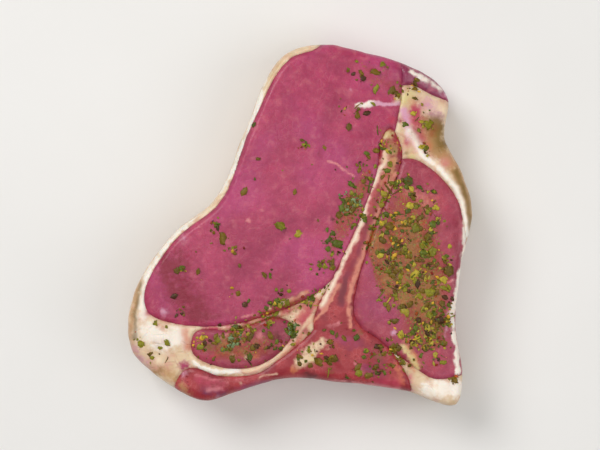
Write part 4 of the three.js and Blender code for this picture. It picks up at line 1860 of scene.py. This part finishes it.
@dataclass(frozen=True)
class Marinade:
    """All the chopped bits that lie on the chop.

    Attributes:
        rule: Where its large flakes lie.
        seed: What the draws of the small bits start from.
        variants: How many different shapes each kind has.
        mixture: Which share of the small bits is of each kind.
        clump_bits: How many small bits a drift has for each of its clumps.
        clump_spread: How widely a clump scatters.
        strays: Which share of the small bits lies outside the clumps.
        edge: How far in from the chop's outline the small bits end.
    """

    rule: HerbRule = HerbRule()
    seed: int = 77
    variants: int = 8
    mixture: tuple[tuple[Kind, float], ...] = ((Kind.LEAF, 0.6), (Kind.CRUMB, 0.35), (Kind.NEEDLE, 0.05))
    clump_bits: int = 12
    clump_spread: float = 0.7
    strays: float = 0.3
    edge: float = 1.4

    def build(self, ground: Ground) -> Iterator[bpy.types.Object]:
        """Builds one joined piece for each kind of bit.

        Args:
            ground: The upper face that they lie on.

        Yields:
            The pieces, in metres.
        """
        rng = np.random.default_rng(self.seed)
        bits = [*self.rule.flakes(rng), *self._small_bits(rng)]
        for kind, finish in HERB_FINISHES.items():
            shapes = [self._shape(kind, rng) for _ in range(self.variants)]
            own = [bit for bit in bits if bit.kind is kind]
            piece = self._joined(kind, own, shapes, ground)
            piece.data.materials.append(made(finish))
            yield piece

    def _small_bits(self, rng: np.random.Generator) -> Iterator[Bit]:
        """Lays out the small leaf scraps, needles and crumbs, most of them in clumps.

        Args:
            rng: Where they are drawn from.

        Yields:
            The small bits.
        """
        kinds, shares = zip(*self.mixture)
        for drift in (*DRIFTS, *DUSTINGS):
            clump_count = 1 + drift.bits // self.clump_bits
            clumps = [drift.from_middle(rng.uniform(0, 1.1), rng.uniform()) for _ in range(clump_count)]
            for _ in range(drift.bits):
                kind = kinds[rng.choice(len(kinds), p=shares)]
                length = 0.5 + 1.3 * rng.uniform() ** 2
                slenderness = rng.uniform(0.4, 0.85)
                shades = drift.shades
                if kind is Kind.CRUMB:
                    length *= 0.6
                    shades = SPICES if rng.uniform() < 0.5 else drift.shades
                elif kind is Kind.NEEDLE:
                    length *= 1.8
                    slenderness = 0.16
                stray = drift.from_middle(rng.uniform(0, 1.3), rng.uniform())
                clumped = clumps[rng.integers(len(clumps))] + rng.normal(0, self.clump_spread, 2)
                place = stray if rng.uniform() < self.strays else clumped
                turn, tilt = rng.uniform(0, math.tau), rng.uniform(-0.25, 0.25)
                colour = one_of(shades, rng)
                if CHOP.depth(place[None])[0] > self.edge:
                    yield Bit(kind, place, length, length * slenderness, turn, tilt, colour)

    def _shape(self, kind: Kind, rng: np.random.Generator) -> bpy.types.Mesh:
        """Makes one shape of a kind, about 1 long and 1 wide.

        Args:
            kind: The kind.
            rng: Where its form is drawn from.

        Returns:
            Its mesh.
        """
        shape = bmesh.new()
        if kind is Kind.LEAF:
            self._leaf(shape, rng)
        elif kind is Kind.NEEDLE:
            self._needle(shape, rng)
        else:
            self._crumb(shape, rng)
        return finished_mesh(shape, kind.value)

    @staticmethod
    def _leaf(shape: bmesh.types.BMesh, rng: np.random.Generator) -> None:
        """Makes a scrap of leaf, torn at its edge, folded along its middle and curled.

        Args:
            shape: Where it is made.
            rng: Where its form is drawn from.
        """
        columns = 5
        bmesh.ops.create_grid(shape, x_segments=columns, y_segments=2, size=0.5)
        fold, curl, twist = rng.uniform(-0.25, 0.5), rng.uniform(-0.4, 0.1), rng.uniform(-0.3, 0.3)
        torn = rng.uniform(0.6, 1.1, (columns + 1, 3))
        shear = rng.uniform(-0.3, 0.3)
        for vert in shape.verts:
            x, y = 2 * vert.co.x, 2 * vert.co.y
            column, side = round((x + 1) / 2 * columns), round(y) + 1
            width = (1 - 0.7 * x**4) * torn[column, side]
            ends = 0.5 * x * (1 - 0.25 * abs(y) * torn[column, 2 - side])
            height = fold * abs(y) * width + curl * x * x + twist * x * y
            vert.co = (ends + shear * 0.5 * y * width, 0.5 * y * width, 0.5 * height)
        bmesh.ops.solidify(shape, geom=shape.faces, thickness=0.07)
        bmesh.ops.recalc_face_normals(shape, faces=shape.faces)

    @staticmethod
    def _needle(shape: bmesh.types.BMesh, rng: np.random.Generator) -> None:
        """Makes a needle or a bit of stalk, bent a little.

        Args:
            shape: Where it is made.
            rng: Where its form is drawn from.
        """
        lying = Matrix.Rotation(math.pi / 2, 4, "Y")
        bmesh.ops.create_cone(
            shape, cap_ends=True, segments=5, radius1=0.5, radius2=0.25, depth=1, matrix=lying
        )
        long_edges = [edge for edge in shape.edges if edge.calc_length() > 0.8]
        bmesh.ops.subdivide_edges(shape, edges=long_edges, cuts=3)
        bend = rng.uniform(0.2, 1.2) * rng.choice((-1, 1))
        for vert in shape.verts:
            vert.co.y += bend * vert.co.x**2
        bmesh.ops.recalc_face_normals(shape, faces=shape.faces)

    @staticmethod
    def _crumb(shape: bmesh.types.BMesh, rng: np.random.Generator) -> None:
        """Makes an angular crumb.

        Args:
            shape: Where it is made.
            rng: Where its form is drawn from.
        """
        bmesh.ops.create_icosphere(shape, subdivisions=1, radius=0.5)
        for vert in shape.verts:
            vert.co *= rng.uniform(0.7, 1.15)

    def _joined(
        self, kind: Kind, bits: list[Bit], shapes: list[bpy.types.Mesh], ground: Ground
    ) -> bpy.types.Object:
        """Lays every bit on the ground and joins them.

        Args:
            kind: The kind of the bits.
            bits: The bits.
            shapes: The shapes that they take in turn.
            ground: The upper face that they lie on.

        Returns:
            The joined piece.
        """
        joined = bmesh.new()
        colours: list[np.ndarray] = []
        for number, bit in enumerate(bits):
            hit = ground.under(bit.place)
            if hit is None:
                continue
            point, normal = hit
            thick = bit.length if kind is Kind.LEAF else bit.width
            raised = 0.1 if kind is Kind.LEAF else 0.2 * thick
            copy = shapes[number % len(shapes)].copy()
            copy.transform(
                Matrix.Translation(point + normal * METRES * raised)
                @ Vector((0, 0, 1)).rotation_difference(normal).to_matrix().to_4x4()
                @ Matrix.Rotation(bit.turn, 4, "Z")
                @ Matrix.Rotation(bit.tilt, 4, "Y")
                @ Matrix.Diagonal((bit.length * METRES, bit.width * METRES, thick * METRES, 1))
            )
            joined.from_mesh(copy)
            colours += [bit.colour] * len(copy.vertices)
            bpy.data.meshes.remove(copy)
        mesh = finished_mesh(joined, kind.value)
        if kind is not Kind.CRUMB:
            mesh.shade_smooth()
        store_colours(mesh, "shade", np.array(colours))
        return linked(mesh.name, mesh)


# ---------------------------------------------------------------- the studio


@dataclass(frozen=True)
class Softbox:
    """A square soft light aimed at the chop.

    Attributes:
        name: Its name.
        place: Where it stands, in metres.
        side: Its width in metres.
        power: Its power in watts.
    """

    name: str
    place: tuple[float, float, float]
    side: float
    power: float

    def build(self) -> None:
        """Puts the light into the scene."""
        light = bpy.data.lights.new(self.name, "AREA")
        light.size = self.side
        light.energy = self.power
        lamp = bpy.data.objects.new(self.name, light)
        lamp.location = self.place
        lamp.rotation_euler = (-Vector(self.place)).to_track_quat("-Z", "Y").to_euler()
        bpy.context.scene.collection.objects.link(lamp)


@dataclass(frozen=True)
class Studio:
    """A plain pale floor, soft lights and a camera straight above the chop.

    Attributes:
        floor_side: Side of the square floor, in metres.
        lens: Focal length in millimetres.
        framed: Width that the picture takes in at the upper face, in metres.
        lights: The soft lights.
    """

    floor_side: float = 1.6
    lens: float = 85
    framed: float = 0.126
    lights: tuple[Softbox, ...] = (
        Softbox("key_light", (-0.35, 0.35, 0.55), 0.35, 3.2),
        Softbox("fill_light", (0.5, -0.1, 0.5), 0.5, 1.6),
        Softbox("top_light", (0.0, -0.15, 0.9), 0.6, 1.6),
    )

    def build(self) -> None:
        """Builds the floor, the lights, the world and the camera."""
        for light in self.lights:
            light.build()
        self._floor()
        self._world()
        self._camera()
        bpy.context.scene.view_settings.view_transform = "Standard"

    def _floor(self) -> None:
        """Builds the floor."""
        shape = bmesh.new()
        bmesh.ops.create_grid(shape, x_segments=1, y_segments=1, size=self.floor_side / 2)
        floor = linked("floor", finished_mesh(shape, "floor"))
        graph = Graph("pale_floor")
        clouds = graph.noise(graph.place(), 40, 3)
        colour = graph.mix(clouds, srgb(226, 224, 220), srgb(232, 230, 227))
        floor.data.materials.append(graph.finish(Surface(0, (1, 1, 1), 0), colour, 0.7))

    @staticmethod
    def _world() -> None:
        """Gives the scene an even pale surrounding."""
        world = bpy.data.worlds.new("studio")
        world.use_nodes = True
        background = world.node_tree.nodes["Background"]
        background.inputs["Color"].default_value = (1, 1, 1, 1)
        background.inputs["Strength"].default_value = 0.3
        bpy.context.scene.world = world

    def _camera(self) -> None:
        """Builds the camera."""
        lens = bpy.data.cameras.new("camera")
        lens.lens = self.lens
        lens.clip_start, lens.clip_end = 0.01, 10
        camera = bpy.data.objects.new("camera", lens)
        away = self.framed * self.lens / lens.sensor_width
        camera.location = (0, 0, FACE.thickness * METRES + away)
        bpy.context.scene.collection.objects.link(camera)
        bpy.context.scene.camera = camera


def main() -> None:
    """Builds the dressed chop, its floor, its lights and its camera."""
    logging.basicConfig(level=logging.INFO, format="%(name)s: %(message)s")
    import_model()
    Studio().build()
    slab = Slab().build()
    pieces = []
    for tissue in TISSUES:
        piece = tissue.build(slab)
        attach(piece, BODY)
        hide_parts(tissue.node)
        pieces.append(piece)
        LOG.info("%s stands for %s: %d vertices", piece.name, tissue.node, len(piece.data.vertices))
    bpy.data.objects.remove(slab)
    for piece in Marinade().build(Ground(pieces)):
        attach(piece, BODY)
        LOG.info("%s: %d vertices", piece.name, len(piece.data.vertices))


if __name__ == "__main__":
    main()
